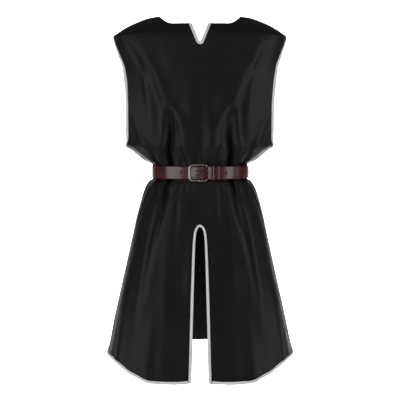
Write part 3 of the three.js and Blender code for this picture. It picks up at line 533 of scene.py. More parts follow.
# Rows of a panel: bands of even rows, with closer ones round the armhole's bottom and the slit's top
ROW_BANDS = [
    (0, -30, 2.2), (-30, -96, 2.6), (-96, -335, 4.7),
    (-380, -520, 2.5), (-520, -610, 4.4), (-642, -1040, 5.2),
]
TOP_BEND = {"front": -95, "back": -150}
HEM_BEND = -945
LOWEST_LEVEL = -1043


def row_levels(side):
    levels = [z for top, bottom, step in ROW_BANDS for z in np.arange(top, bottom, -step)]
    levels += list(armhole_round(0, 15))
    levels += list(SLIT_TOP_Z - 26 * np.linspace(0, 1, 13) ** 2)
    levels += [-1041.6, LOWEST_LEVEL]
    if side == "front":
        levels.append(notch_tip_level())
    levels = np.array(sorted(set(np.round(levels, 3)), reverse=True))
    keep = np.concatenate([[True], np.diff(levels) < -0.25])
    return levels[keep]


def notch_tip_level():
    bend = TOP_BEND["front"]
    return round(bend * (NOTCH_TIP_Z + NECK_DEPTH) / (bend + NECK_DEPTH), 3)


def row_height(side, level, angle, table):
    """The height of a row at an angle: rows follow the neckline at the top and the hem at the bottom."""
    top = np.interp(np.abs(angle), *table)
    bend = TOP_BEND[side]
    upper = top + level / bend * (bend - top)
    lower = HEM_BEND + (level - HEM_BEND) / (LOWEST_LEVEL - HEM_BEND) * (hem_z(side, angle) - HEM_BEND)
    return np.where(level > bend, upper, np.where(level < HEM_BEND, lower, level))


def half_panel(side, sign):
    """Angles and heights of one half of a panel, rows by columns, from the middle to the side."""
    angles = np.linspace(0, 90, 181)
    table = (angles, neckline_at(side, angles))
    level = row_levels(side)
    inner = np.zeros_like(level)

    def z_of(rows):
        return lambda angle: row_height(side, level[rows], angle, table)

    if side == "front":
        notch = np.flatnonzero(level > notch_tip_level() + 0.01)
        slit = np.flatnonzero(level < SLIT_TOP_Z - 0.01)
        # A row's height there depends on its angle, so both are found in turns
        guess = np.full(len(notch), 20.0)
        for _ in range(12):
            z = z_of(notch)(sign * guess)
            guess = np.abs(angle_at_x(side, sign, notch_half(z), z))
        inner[notch] = sign * guess
        z = z_of(slit)(np.zeros(len(slit)))
        inner[slit] = angle_at_x(side, sign, slit_half(z), z)
    outer = angle_at_armhole(side, sign, z_of(slice(None)), len(level))
    part = np.linspace(0, 1, HALF_COLUMNS)
    angle = inner[:, None] + (outer - inner)[:, None] * part
    height = row_height(side, level[:, None], angle, table)
    return angle, height, np.abs(inner) < 1e-6


def linked(name, data):
    """A new object in the scene."""
    obj = bpy.data.objects.new(name, data)
    bpy.context.collection.objects.link(obj)
    return obj


def mesh_object(name, points, faces, uvs=None, sharp=None):
    """An object from points in millimetres. uvs has a pair for each corner, sharp is a set of edges."""
    mesh = bpy.data.meshes.new(name)
    mesh.from_pydata((np.asarray(points) * MM).tolist(), [], faces)
    mesh.polygons.foreach_set("use_smooth", [True] * len(mesh.polygons))
    if uvs is not None:
        mesh.uv_layers.new(name="UVMap").data.foreach_set("uv", np.asarray(uvs, float).ravel())
    if sharp:
        ends = np.zeros(len(mesh.edges) * 2, int)
        mesh.edges.foreach_get("vertices", ends)
        flags = [(min(a, b), max(a, b)) in sharp for a, b in ends.reshape(-1, 2).tolist()]
        mesh.attributes.new("sharp_edge", "BOOLEAN", "EDGE").data.foreach_set("value", flags)
    mesh.update()
    return linked(name, mesh)


def finish_piece(obj, material, node):
    """Puts a piece in its material, and in the place of its node on the body."""
    obj.data.materials.clear()
    obj.data.materials.append(material)
    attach(obj, "root")
    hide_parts(node)
    return obj


def panel(side, material):
    """A panel as a thin closed shell with its edges cut clean."""
    halves = [half_panel(side, sign) for sign in (1, -1)]
    rows, columns = halves[0][0].shape
    shared = halves[0][2]
    angle, height = (np.concatenate([half[i].ravel() for half in halves]) for i in (0, 1))
    index = np.arange(2 * rows * columns).reshape(2, rows, columns)
    index[1, shared, 0] = index[0, shared, 0]
    phi = whole_turn(side, angle)
    outside = cloth(phi, height)
    normal = slopes(phi, height)[2]
    at_seam = np.abs(np.abs(angle) - 90) < 1e-6
    outside[at_seam, 1] = (-1 if side == "front" else 1) * SEAM_GAP / 2
    normal[at_seam, 1] = 0
    inside = outside - WALL * unit(normal)
    faces = []
    for half in (0, 1):
        i = index[half]
        quads = np.stack([i[:-1, :-1], i[1:, :-1], i[1:, 1:], i[:-1, 1:]], axis=-1).reshape(-1, 4)
        flip = (half == 1) != (side == "back")
        faces.append(quads[:, ::-1] if flip else quads)
    faces = np.concatenate(faces)
    count = len(outside)
    edges = np.stack([faces, np.roll(faces, -1, axis=1)], axis=-1).reshape(-1, 2)
    taken = set(map(tuple, edges.tolist()))
    border = [(a, b) for a, b in taken if (b, a) not in taken]
    rim = [(b, a, a + count, b + count) for a, b in border]
    sharp = {(min(a, b) + k, max(a, b) + k) for a, b in border for k in (0, count)}
    every_face = faces.tolist() + (faces[:, ::-1] + count).tolist() + rim
    obj = mesh_object(f"{side}_leather", np.concatenate([outside, inside]), every_face, sharp=sharp)
    drop_unused_points(obj)
    return finish_piece(obj, material, f"{side}_panel")


def edit_mesh(obj, change):
    """Changes an object's mesh by a function of its editable form."""
    made = bmesh.new()
    made.from_mesh(obj.data)
    change(made)
    made.to_mesh(obj.data)
    made.free()


def drop_unused_points(obj):
    """Removes the doubled points of the middle column."""
    def drop(made):
        loose = [point for point in made.verts if not point.link_faces]
        bmesh.ops.delete(made, geom=loose, context="VERTS")

    edit_mesh(obj, drop)


# Edges that the braid follows, as angles all round and heights
def resampled(phi, z, closed=False):
    """The same line with even steps along the cloth."""
    along = walk(cloth(phi, z))
    count = max(2, round(along[-1] / BRAID_STEP))
    at = np.linspace(0, along[-1], count + 1)
    if closed:
        at = at[:-1]
    return np.interp(at, along, phi), np.interp(at, along, z), at


def there_and_back(first, second):
    """One array from two that end at the same place, the second read backwards."""
    return np.concatenate([first, second[::-1][1:]])


def armhole_edge(sign):
    """All round an armhole, down the front from the shoulder tip and up the back."""
    straight = np.linspace(ARMHOLE_TOP_Z - 0.01, ARMHOLE_ROUND_Z, 120)
    z = np.concatenate([straight, armhole_round(2, 40)])
    front, back = (angle_at_armhole(side, sign, lambda angle: z, len(z)) for side in ("front", "back"))
    return resampled(there_and_back(front, sign * 180 - back), there_and_back(z, z), closed=True)


def both_sides(half, z):
    """Angles of the left and right edges of an opening in the middle of the front."""
    return [angle_at_x("front", sign, half(z), z) for sign in (-1, 1)]


def notch_edge():
    """Down the left side of the notch and up the right."""
    straight = np.linspace(-NECK_DEPTH - BRAID_INSET, NOTCH_SHOULDER_Z, 50)
    z = np.concatenate([straight, np.linspace(NOTCH_SHOULDER_Z - 0.2, NOTCH_TIP_Z, 9)])
    left, right = both_sides(notch_half, z)
    return resampled(there_and_back(left, right), there_and_back(z, z))


def slit_edge():
    """Up the right side of the slit and down the left."""
    lowest = hem_z("front", 0) + BRAID_INSET
    rounded = SLIT_TOP_Z - 30 * np.linspace(0, 1, 30) ** 2
    z = np.concatenate([rounded, np.linspace(SLIT_TOP_Z - 31, lowest, 150)])[::-1]
    left, right = both_sides(slit_half, z)
    return resampled(there_and_back(right, left), there_and_back(z, z))


def hem_edge():
    """All round the hem, from the slit's right side to its left."""
    low = hem_z("front", 0)
    beside_slit = slit_half(low) + BRAID_INSET + BRAID_WIDTH + 2 * GAP
    start = abs(angle_at_x("front", 1, np.array([beside_slit]), np.array([low]))[0])
    phi = np.linspace(start, 360 - start, 1200)
    wrapped = (phi + 180) % 360 - 180
    on_front = np.abs(wrapped) <= 90
    z = np.where(on_front, hem_z("front", wrapped), hem_z("back", 180 - np.abs(wrapped)))
    return resampled(phi, z)


class Band:
    """A strip of cloth along an edge, where things are placed by their distance in from the edge."""

    def __init__(self, edge, hand, closed=False, width=None):
        self.phi, self.z, self.along = edge
        self.closed = closed
        self.width = np.ones_like(self.z) if width is None else width(self.z)
        tangent = unit(heading(cloth(self.phi, self.z), closed))
        by_angle, by_height, normal = slopes(self.phi, self.z)
        inward = hand * np.cross(normal, tangent)
        if not closed:
            inward = self.eased(inward)
        aa, ah, ai = ((by_angle * other).sum(1) for other in (by_angle, by_height, inward))
        hh, hi = ((by_height * other).sum(1) for other in (by_height, inward))
        share = aa * hh - ah * ah
        self.turn = (ai * hh - hi * ah) / share
        self.rise = (hi * aa - ai * ah) / share

    @staticmethod
    def eased(direction, reach=2):
        """The same directions, turned evenly where the line has a sharp corner."""
        padded = np.concatenate([direction[:1]] * reach + [direction] + [direction[-1:]] * reach)
        return unit(sum(padded[i:i + len(direction)] for i in range(2 * reach + 1)))

    def points(self, inward, lift):
        """Points at a distance in from the edge and a lift off the cloth, one for each step."""
        distance = inward * self.width
        phi = self.phi + self.turn * distance
        z = np.minimum(BRAID_TOP_Z, self.z + self.rise * distance)
        normal = slopes(phi, z)[2]
        return cloth(phi, z) + normal * np.broadcast_to(lift, z.shape)[:, None], normal


def swept(name, rings, closed, along, length=PLAIT_LENGTH):
    """An object through rings of points, steps by points of a ring, with maps along and around it."""
    steps, around = rings.shape[:2]
    index = np.arange(steps * around).reshape(steps, around)
    following = np.roll(index, -1, axis=0) if closed else index[1:]
    start = index if closed else index[:-1]
    quads = np.stack(
        [start, following, np.roll(following, -1, axis=1), np.roll(start, -1, axis=1)], axis=-1
    ).reshape(-1, 4)
    u = np.append(along, along[-1] + (along[-1] - along[-2])) / length
    lows = np.repeat(np.arange(len(start)), around)
    k = np.tile(np.arange(around), len(start))
    corners = [(0, 0), (1, 0), (1, 1), (0, 1)]
    uv = np.stack([np.stack([u[lows + i], (k + j) / around], 1) for i, j in corners], axis=1).reshape(-1, 2)
    faces = quads.tolist()
    if not closed:
        faces += [index[0].tolist(), index[-1][::-1].tolist()]
        uv = np.concatenate([uv, np.zeros((2 * around, 2))])
    obj = mesh_object(name, rings.reshape(-1, 3), faces, uvs=uv)
    edit_mesh(obj, lambda made: bmesh.ops.recalc_face_normals(made, faces=made.faces[:]))
    return obj


def joined(name, objects):
    """One object from several."""
    bpy.ops.object.select_all(action="DESELECT")
    for obj in objects:
        obj.select_set(True)
    bpy.context.view_layer.objects.active = objects[0]
    bpy.ops.object.join()
    objects[0].name = name
    return objects[0]


def braid(name, band, material, node):
    """Three flat strands plaited over a tape."""
    middle = BRAID_INSET + BRAID_WIDTH / 2
    swing = BRAID_WIDTH / 2 - STRAND_HALF_WIDTH
    length = band.along[-1] + (band.along[1] if band.closed else 0)
    repeats = max(1, round(length / PLAIT_LENGTH))
    base = 2 * np.pi * repeats * band.along / length
    made = []
    for strand in range(3):
        phase = base + 2 * np.pi * strand / 3
        inward = middle + swing * np.sin(phase)
        lift = GAP + STRAND_HALF_HEIGHT + PLAIT_RISE * (1 + np.sin(2 * phase))
        centre, normal = band.points(inward, lift)
        across = unit(np.cross(normal, heading(centre, band.closed)))
        turns = np.radians(np.arange(0, 360, 60) + 30)
        rings = np.stack([
            centre + across * (math.cos(t) * STRAND_HALF_WIDTH * band.width)[:, None]
            + normal * math.sin(t) * STRAND_HALF_HEIGHT for t in turns
        ], axis=1)
        made.append(swept(f"{name}_strand", rings, band.closed, band.along))
    near = BRAID_INSET + TAPE_INSET
    far = BRAID_INSET + BRAID_WIDTH - TAPE_INSET
    tape = [(near, GAP / 2), (near, TAPE_EDGE_LIFT), (middle, TAPE_LIFT)]
    tape += [(far, TAPE_EDGE_LIFT), (far, GAP / 2)]
    rings = np.stack([band.points(w, lift)[0] for w, lift in tape], axis=1)
    made.append(swept(f"{name}_tape", rings, band.closed, band.along))
    return finish_piece(joined(name, made), material, node)


# The belt. Places on it are an angle round the waist and a lift off the cloth's oval.
WAIST = {
    side: [float(size_at(name, BELT_Z)) for name in ("half_width", side, "power")]
    for side in ("front", "back")
}


def waist_frame(angle):
    """A point of the waist's oval, its outward direction, and the direction round it."""
    turn = math.radians(angle)
    a, b, n = WAIST["front" if math.cos(turn) >= 0 else "back"]
    s, c = math.sin(turn), math.cos(turn)
    radius = (abs(s / a) ** n + abs(c / b) ** n) ** (-1 / n)
    x, y = radius * s, -radius * c
    out = Vector((
        math.copysign(abs(x) ** (n - 1), x) / a**n, math.copysign(abs(y) ** (n - 1), y) / b**n, 0,
    )).normalized()
    return Vector((x, y, BELT_Z)), out, Vector((-out.y, out.x, 0))


def beside_waist(angle, lift):
    point, out, _ = waist_frame(angle)
    return point + out * lift


def waist_angle(x, turns=0):
    """The angle at a place across the front of the waist, after a number of whole turns."""
    a, b, n = WAIST["front"]
    return math.degrees(math.atan2(x, b * (1 - abs(x / a) ** n) ** (1 / n))) + 360 * turns


CHAPE_BASE = GAP + KEEPER_THICKNESS + GAP
SINGLE = 2 * GAP + STRAP / 2
RETURNED = CHAPE_BASE + STRAP / 2
HEEL_LIFT = CHAPE_BASE + STRAP + BAR_RADIUS + GAP
FOLD_RADIUS = BAR_RADIUS + GAP + STRAP / 2
UNDER = RETURNED + STRAP + GAP
OVER = UNDER + STRAP + GAP
OUTER = SINGLE + STRAP + GAP
OVER_HEEL = HEEL_LIFT + BAR_RADIUS + 2 * GAP + 2 * PRONG_RADIUS + STRAP / 2
FRAME_LEFT_LIFT = SINGLE + 1.6 + STRAP / 2 + BAR_RADIUS + 2 * GAP
HEEL = waist_angle(HEEL_BAR_X)
RETURN_END = 36
TIP_ANGLE = 478
STRAP_STEP = 0.8

Stop = namedtuple("Stop", "angle lift")


def stops(turns, rows):
    """Stops at places across the front, after a number of whole turns."""
    return [Stop(waist_angle(x, turns), lift) for x, lift in rows]


STRAP_ROUTE = [
    *stops(0, [(22, HEEL_LIFT + FOLD_RADIUS - 0.5), (26, UNDER + 1.9), (31, UNDER + 0.3), (34, UNDER)]),
    Stop(RETURN_END + 1, UNDER),
    Stop(RETURN_END + 8, SINGLE),
    *stops(1, [
        (-60, SINGLE), (-40, SINGLE + 0.3), (-30, SINGLE + 1.2), (-25, SINGLE + 2.3), (-12, SINGLE + 6.3),
        (4, OVER_HEEL - 1.3), (13, OVER_HEEL - 0.2), (HEEL_BAR_X, OVER_HEEL), (22, OVER_HEEL - 0.4),
        (26, OVER + 2.3), (31, OVER + 0.6), (34, OVER + 0.2),
    ]),
    Stop(360 + RETURN_END + 2, OVER),
    Stop(360 + RETURN_END + 18, OUTER),
    Stop(TIP_ANGLE, OUTER),
]


def circling(centre, out, along, radius, degrees):
    """A point of a circle round an upright bar, at an angle from its outward side."""
    turn = math.radians(degrees)
    return centre + out * (math.cos(turn) * radius) - along * (math.sin(turn) * radius)


def heel_centre():
    point, out, along = waist_frame(HEEL)
    return point + out * HEEL_LIFT, out, along


# Where the strap climbs over the buckle its edges climb later than its middle, by this many degrees
EDGE_LAG = 3.4
CLIMB = (waist_angle(-31, 1), waist_angle(6, 1))


def strap_lift(angle):
    return float(smooth(*zip(*STRAP_ROUTE), angle))


def strap_line():
    """The strap's middle line, with how far its edges hang back towards the waist at each point.

    It runs along the turned-over end, round the heel bar, then round the waist.
    """
    line = [beside_waist(angle, RETURNED) for angle in np.arange(RETURN_END, HEEL + 1, -1.5)]
    centre, out, along = heel_centre()
    line += [circling(centre, out, along, FOLD_RADIUS, turn) for turn in range(180, -1, -15)]
    hang = [0.0] * len(line)
    for angle in np.arange(STRAP_ROUTE[0].angle, TIP_ANGLE + 0.01, STRAP_STEP):
        lift = strap_lift(angle)
        line.append(beside_waist(angle, lift))
        climbing = CLIMB[0] < angle < CLIMB[1]
        hang.append(max(0, lift - strap_lift(angle - EDGE_LAG)) if climbing else 0.0)
    return np.array(line), np.array(hang)


def strap_section():
    """Across the strap's width and through its thickness, with a creased line near each edge."""
    half, t = BELT_WIDTH / 2, STRAP / 2
    top = [
        (half, 0.15), (half - 0.35, 0.72), (half - 1.1, 0.97), (half - 2.4, 1.0), (half - 3.0, 0.8),
        (half - 3.6, 1.0), (half * 0.4, 1.08), (0, 1.12),
    ]
    upper = [(w, h * t) for w, h in top]
    upper += [(-w, h) for w, h in reversed(upper[:-1])]
    lower = [(-half + 0.4, -0.8 * t), (-half + 1.2, -t), (half - 1.2, -t), (half - 0.4, -0.8 * t)]
    return upper + lower


def strap(material):
    line, hang = strap_line()
    along = unit(heading(line))
    through = np.stack([along[:, 1], -along[:, 0], np.zeros(len(line))], axis=1)
    walked = walk(line)
    from_tip = walked[-1] - walked
    rounding = ramp(from_tip, 0, TIP_LENGTH)
    narrow = np.maximum(TIP_BLUNTNESS, np.sqrt(1 - (1 - rounding) ** 2))
    rings = np.stack([
        line + np.stack([np.zeros(len(line))] * 2 + [w * narrow], axis=1)
        + through * (h - hang * abs(2 * w / BELT_WIDTH) ** 2.5)[:, None]
        for w, h in strap_section()
    ], axis=1)
    obj = swept("belt_leather", rings, False, walked, length=BELT_WIDTH)
    cut_holes(obj)
    return finish_piece(obj, material, "belt_strap")


def cylinder(name, centre, axis, radius, depth, sides=20, stretch=1.0):
    """A closed round bar, used as a cutter."""
    side = axis.cross(UP).normalized()
    turns = [2 * math.pi * k / sides for k in range(sides)]
    around = [side * (math.cos(t) * radius * stretch) + UP * (math.sin(t) * radius) for t in turns]
    rings = [[centre + axis * (end * depth) + point for point in around] for end in (-0.5, 0.5)]
    return swept(name, np.array(rings), False, np.array([0.0, 1.0]))


def cut_holes(obj):
    """Punches the belt's holes and the opening for the prong in the turned end."""
    cutters = []
    for k in HOLES:
        angle = waist_angle(PRONG_HOLE_X + HOLE_SPACING * k, 1)
        point, out, _ = waist_frame(angle)
        place = point + out * strap_lift(angle)
        stretch, depth = (PRONG_HOLE_STRETCH, 8.0) if k == 0 else (1.0, STRAP + 0.5)
        cutters.append(cylinder("hole_cutter", place, out, HOLE_RADIUS, depth, stretch=stretch))
    centre, out, _ = heel_centre()
    reach = 2 * (FOLD_RADIUS + STRAP / 2 + 0.15)
    radius = PRONG_RADIUS + 0.7
    cutters.append(cylinder("slot_cutter", centre, out, radius, reach, stretch=HEEL_SLOT_STRETCH))
    cutter = joined("belt_cutter", cutters)
    change = obj.modifiers.new("holes", "BOOLEAN")
    change.object = cutter
    change.operation = "DIFFERENCE"
    change.solver = "EXACT"
    depsgraph = bpy.context.evaluated_depsgraph_get()
    cut = bpy.data.meshes.new_from_object(obj.evaluated_get(depsgraph))
    obj.modifiers.clear()
    old = obj.data
    obj.data = cut
    bpy.data.meshes.remove(old)
    bpy.data.objects.remove(cutter)


def bar(name, line, plane_normal, widths, closed=False, sides=14):
    """A bar along a line, oval in section: widths are its half sizes in the plane and out of it."""
    line = np.array(line)
    normal = np.array(plane_normal)
    across = unit(np.cross(heading(line, closed), normal))
    widths = np.broadcast_to(np.array(widths, float), (len(line), 2))
    turns = np.linspace(0, 2 * np.pi, sides, endpoint=False)
    rings = [
        line + across * (math.cos(t) * widths[:, :1]) + normal * (math.sin(t) * widths[:, 1:]) for t in turns
    ]
    return swept(name, np.stack(rings, axis=1), closed, walk(line), length=10)


def corner(u, v, radius, start, sweep, steps):
    """Points round a corner's centre, from a start in degrees and through a sweep."""
    turns = [math.radians(start + sweep * i / steps) for i in range(steps + 1)]
    return [(u + radius * math.cos(turn), v + radius * math.sin(turn)) for turn in turns]


def buckle_frame(material):
    """A flat loop with well-rounded corners on the left and tighter ones at the heel bar."""
    left = beside_waist(waist_angle(FRAME_LEFT_X), FRAME_LEFT_LIFT)
    right = heel_centre()[0]
    across = right - left
    width = across.length
    across.normalize()
    half = FRAME_HEIGHT / 2 - BAR_RADIUS
    heel = width - HEEL_CORNER
    loop = []
    for u, level, radius, start in [
        (LEFT_CORNER, 1, LEFT_CORNER, 180), (heel, 1, HEEL_CORNER, 90),
        (heel, -1, HEEL_CORNER, 0), (LEFT_CORNER, -1, LEFT_CORNER, -90),
    ]:
        loop += corner(u, level * (half - radius), radius, start, -90, 12)
    line = np.array([left + across * u + UP * v for u, v in loop])
    on_heel = (line - np.array(left)) @ np.array(across) > 0.985 * width
    widths = np.where(on_heel[:, None], [BAR_RADIUS, BAR_RADIUS], [BAR_RADIUS + 0.6, BAR_RADIUS + 0.1])
    obj = bar("buckle_loop", line, across.cross(UP).normalized(), widths, closed=True, sides=18)
    return finish_piece(obj, material, "buckle_frame")


def buckle_prong(material):
    """A prong that hooks round the heel bar, passes through its hole and rests on the frame's left side."""
    centre, out, along = heel_centre()
    hook = BAR_RADIUS + GAP + PRONG_RADIUS
    line = [circling(centre, out, along, hook, turn) for turn in range(-200, 61, 20)]
    on_frame = FRAME_LEFT_LIFT + BAR_RADIUS + PRONG_RADIUS
    rise = [
        (10, HEEL_LIFT + 1.2), (5, HEEL_LIFT + 1.1), (1, HEEL_LIFT + 1.9), (-4, HEEL_LIFT + 3.3),
        (-9, HEEL_LIFT + 4.6), (-14, HEEL_LIFT + 5), (-22, on_frame + 0.7), (-33, on_frame + GAP + 0.1),
    ]
    xs, lifts = zip(*rise)
    for x in np.linspace(xs[0], xs[-1], 30):
        line.append(beside_waist(waist_angle(x), float(smooth(xs, lifts, x))))
    taper = np.ones(len(line))
    taper[-4:] = [0.92, 0.8, 0.62, 0.35]
    widths = np.stack([PRONG_RADIUS * taper, PRONG_RADIUS * 1.25 * taper], axis=1)
    obj = bar("buckle_tongue", line, (0, 0, 1), widths, sides=12)
    return finish_piece(obj, material, "buckle_prong")


def keeper(number, x, slack, material):
    """A leather loop round every layer of the strap, with rounded corners and edges."""
    point, out, along = waist_frame(waist_angle(x))
    low = GAP + KEEPER_THICKNESS / 2
    high = OVER + STRAP / 2 + GAP + slack + KEEPER_THICKNESS / 2
    reach = BELT_WIDTH / 2 + 2 * GAP + KEEPER_THICKNESS / 2
    radius = 1.2
    loop = []
    for u, v, start in [(high, reach, 0), (low, reach, 90), (low, -reach, 180), (high, -reach, 270)]:
        u -= math.copysign(radius, u - (low + high) / 2)
        v -= math.copysign(radius, v)
        loop += corner(u, v, radius, start, 90, 5)
    line = np.array([point + out * u + UP * v for u, v in loop])
    outside = unit(np.cross(heading(line, True), np.array(along)))
    half, t = KEEPER_WIDTH / 2, KEEPER_THICKNESS / 2
    flat = half - 0.3
    section = [(half, 0), (flat, t), (0, t * 1.15), (-flat, t), (-half, 0), (-flat, -t), (flat, -t)]
    rings = np.stack([line + np.array(along) * w + outside * h for w, h in section], axis=1)
    obj = swept(f"keeper_{number}", rings, True, walk(line), length=BELT_WIDTH)
    return finish_piece(obj, material, f"belt_keeper_{number}")


# Materials
class Nodes:
    """Short ways to add and join shader nodes."""

    def __init__(self, name):
        self.material = bpy.data.materials.new(name)
        self.material.use_nodes = True
        self.tree = self.material.node_tree
        self.shader = self.tree.nodes["Principled BSDF"]
        self.where = self.add("ShaderNodeTexCoord").outputs

    def add(self, kind, inputs=None, **settings):
        node = self.tree.nodes.new(kind)
        for key, value in settings.items():
            setattr(node, key, value)
        for key, value in (inputs or {}).items():
            self.put(node.inputs[key], value)
        return node

    def put(self, socket, value):
        """Joins an output to a socket, or sets it to a value or a three-part colour."""
        if isinstance(value, bpy.types.NodeSocket):
            self.tree.links.new(value, socket)
        else:
            socket.default_value = (*value, 1) if socket.type == "RGBA" else value

    def set(self, **inputs):
        for key, value in inputs.items():
            self.put(self.shader.inputs[key.replace("_", " ")], value)

    def noise(self, scale, detail):
        inputs = {"Vector": self.where["Object"], "Scale": scale, "Detail": detail, "Roughness": 0.55}
        return self.add("ShaderNodeTexNoise", inputs).outputs["Fac"]

    def between(self, factor, low, high, start=0.3, end=0.7):
        """Turns a pattern's values from start to end into values from low to high."""
        inputs = {"Value": factor, "From Min": start, "From Max": end, "To Min": low, "To Max": high}
        return self.add("ShaderNodeMapRange", inputs).outputs["Result"]

    def blend(self, factor, first, second):
        inputs = {"Factor": factor, "A": first, "B": second}
        return self.add("ShaderNodeMix", inputs, data_type="RGBA").outputs["Result"]

    def math(self, operation, first, second):
        return self.add("ShaderNodeMath", {0: first, 1: second}, operation=operation).outputs["Value"]

    def bump(self, height, distance, strength, **more):
        inputs = {"Height": height, "Distance": distance, "Strength": strength, **more}
        return self.add("ShaderNodeBump", inputs).outputs["Normal"]


def leather_material():
    """Soft black garment leather: pebbled grain, faint mottling, and a satin face."""
    n = Nodes("black_leather")
    mottle = n.noise(9, 4)
    fine = n.noise(420, 3)
    cells = n.add("ShaderNodeTexVoronoi", {"Vector": n.where["Object"], "Scale": 620.0})
    colour = n.blend(n.between(mottle, 0, 1), (0.0068, 0.0064, 0.0069), (0.0094, 0.0088, 0.0095))
    soft = n.bump(n.noise(38, 3), 0.0012, 0.35)
    pebbles = n.math("ADD", cells.outputs["Distance"], n.math("MULTIPLY", fine, 0.5))
    grain = n.bump(pebbles, 0.00022, 0.5, Normal=soft)
    n.set(Base_Color=colour, Roughness=n.between(mottle, 0.40, 0.50), Normal=grain, Specular_IOR_Level=0.15)
    return n.material


def braid_material():
    """Silver-white gimp: thread that winds round each strand, with a faint metallic glint."""
    n = Nodes("silver_braid")
    slant = n.add("ShaderNodeMapping", {"Vector": n.where["UV"], "Rotation": (0, 0, 0.9)}).outputs["Vector"]
    thread = n.add("ShaderNodeTexWave", {"Vector": slant, "Scale": 13.0, "Distortion": 0.6}).outputs["Fac"]
    worn = n.noise(160, 3)
    colour = n.blend(n.between(worn, 0, 1), (0.84, 0.82, 0.84), (0.92, 0.90, 0.92))
    colour = n.blend(n.between(thread, 0, 0.35, 0.0, 1.0), colour, (0.66, 0.64, 0.67))
    n.set(Base_Color=colour, Roughness=0.52, Metallic=0.05, Normal=n.bump(thread, 0.00025, 0.6))
    n.set(Specular_IOR_Level=0.5, Sheen_Weight=0.15)
    return n.material


def belt_material():
    """Glossy dark burgundy leather under a clear coat."""
    n = Nodes("burgundy_leather")
    mottle = n.noise(34, 4)
    fine = n.noise(700, 3)
    colour = n.blend(n.between(mottle, 0, 1), (0.040, 0.0060, 0.0078), (0.058, 0.0098, 0.0122))
    n.set(Base_Color=colour, Roughness=n.between(mottle, 0.26, 0.38), Normal=n.bump(fine, 0.00008, 0.3))
    n.set(Specular_IOR_Level=0.02, Coat_Weight=0.85, Coat_Roughness=0.21, Coat_IOR=1.6)
    return n.material


def metal_material():
    """Polished nickel with faint scratches and smudges."""
    n = Nodes("polished_nickel")
    smudge = n.noise(90, 4)
    colour = n.blend(n.between(smudge, 0, 1), (0.40, 0.37, 0.36), (0.52, 0.50, 0.48))
    n.set(Base_Color=colour, Metallic=1.0, Roughness=n.between(smudge, 0.16, 0.32))
    n.set(Normal=n.bump(n.noise(1300, 2), 0.00004, 0.3))
    return n.material


def stage_material():
    """Matt pale paint."""
    n = Nodes("studio_white")
    n.set(Base_Color=(0.82, 0.82, 0.82), Roughness=0.9, Specular_IOR_Level=0.1)
    return n.material


# Studio
FLOOR_Z = -2.1
STAGE_HALF = 7.0
WALL_Y = 5.5
WALL_TOP = 2.4
COVE = 1.6
AMBIENT = 0.11


def stage():
    """A floor that curves up into a back wall, both pale."""
    cove = corner(WALL_Y - COVE, FLOOR_Z + COVE, COVE, -90, 90, 12)
    profile = [(-STAGE_HALF, FLOOR_Z), *cove, (WALL_Y, WALL_TOP)]
    points = [(x, y, z) for y, z in profile for x in (-STAGE_HALF, STAGE_HALF)]
    faces = [(2 * i, 2 * i + 1, 2 * i + 3, 2 * i + 2) for i in range(len(profile) - 1)]
    obj = mesh_object("studio_floor", np.array(points) / MM, faces)
    obj.data.materials.append(stage_material())


def softbox(name, place, target, width, height, power, spread=180):
    """A soft rectangular light that faces its target."""
    data = bpy.data.lights.new(name, "AREA")
    data.shape = "RECTANGLE"
    data.size, data.size_y = width, height
    data.energy = power
    data.spread = math.radians(spread)
    obj = linked(name, data)
    obj.location = place
    obj.rotation_euler = (Vector(target) - Vector(place)).to_track_quat("-Z", "Y").to_euler()


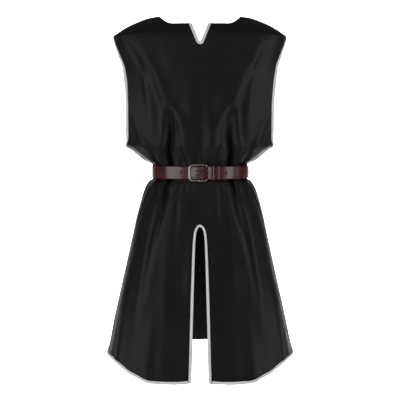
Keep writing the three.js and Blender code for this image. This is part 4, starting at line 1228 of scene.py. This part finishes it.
def lights():
    middle = (0, 0, -0.5)
    softbox("key_left", (-2.3, -2.0, -0.2), middle, 2.0, 3.6, 53)
    softbox("key_right", (2.75, -1.5, -0.2), middle, 2.0, 3.6, 53)
    softbox("fill_left", (-0.9, -2.9, -0.2), middle, 0.8, 3.4, 2.6)
    for side, sign in SIDES:
        softbox(f"backdrop_{side}", (sign * 2.6, 3.0, 2.4), (sign * 0.6, 5.5, -0.3), 1.6, 1.6, 190, 110)
    softbox("floor_light", (0, 4.0, 2.6), (0, 3.9, FLOOR_Z), 4.6, 1.6, 230, 44)
    softbox("top_front", (0, -1.9, 1.5), (0, 0, -0.1), 2.4, 0.8, 5)
    world = bpy.data.worlds.new("studio")
    bpy.context.scene.world = world
    world.use_nodes = True
    background = world.node_tree.nodes["Background"]
    background.inputs["Color"].default_value = (1, 1, 1, 1)
    background.inputs["Strength"].default_value = AMBIENT


# Camera: 2.6 m in front of the garment and a little above its waist, tilted down towards it
CAMERA_DISTANCE = 2.6
CAMERA_Z = -0.3637
TILT_OFFSET = 60
FOCAL_PIXELS = 2600 / 3
PHOTO_WIDTH = 400
SENSOR = 36
FARTHEST = 60


def camera():
    data = bpy.data.cameras.new("camera")
    data.sensor_width = SENSOR
    data.lens = SENSOR * FOCAL_PIXELS / PHOTO_WIDTH
    data.clip_end = FARTHEST
    obj = linked("camera", data)
    obj.location = (0, -CAMERA_DISTANCE, CAMERA_Z)
    obj.rotation_euler = (math.radians(90) - math.atan(TILT_OFFSET / FOCAL_PIXELS), 0, 0)
    bpy.context.scene.camera = obj


def narrow_at_tip(z):
    """The armhole's braid is sewn narrower over the shoulder tip."""
    return 0.6 + 0.55 * ramp(ARMHOLE_TOP_Z - z, 0, 45)


def narrow_at_top(z):
    """The slit's braid is pulled narrower round the top of the slit."""
    return 0.8 + 0.2 * ramp(SLIT_TOP_Z - z, 0, 200)


def garment():
    leather = leather_material()
    silver = braid_material()
    front = panel("front", leather)
    back = panel("back", leather)
    trims = []
    for side, sign in SIDES:
        band = Band(armhole_edge(sign), -sign, True, narrow_at_tip)
        trims.append(braid(f"armhole_plait_{side}", band, silver, f"armhole_braid_{side}"))
    trims += [
        braid("notch_plait", Band(notch_edge(), -1), silver, "neck_notch_braid"),
        braid("slit_plait", Band(slit_edge(), -1, width=narrow_at_top), silver, "slit_braid"),
        braid("hem_plait", Band(hem_edge(), 1), silver, "hem_braid"),
    ]


def belt():
    leather = belt_material()
    metal = metal_material()
    strap(leather)
    for number, (x, slack) in enumerate(KEEPERS, 1):
        keeper(number, x, slack, leather)
    buckle_frame(metal)
    buckle_prong(metal)


garment()
belt()
stage()
lights()
camera()
bpy.context.scene.view_settings.view_transform = "Standard"
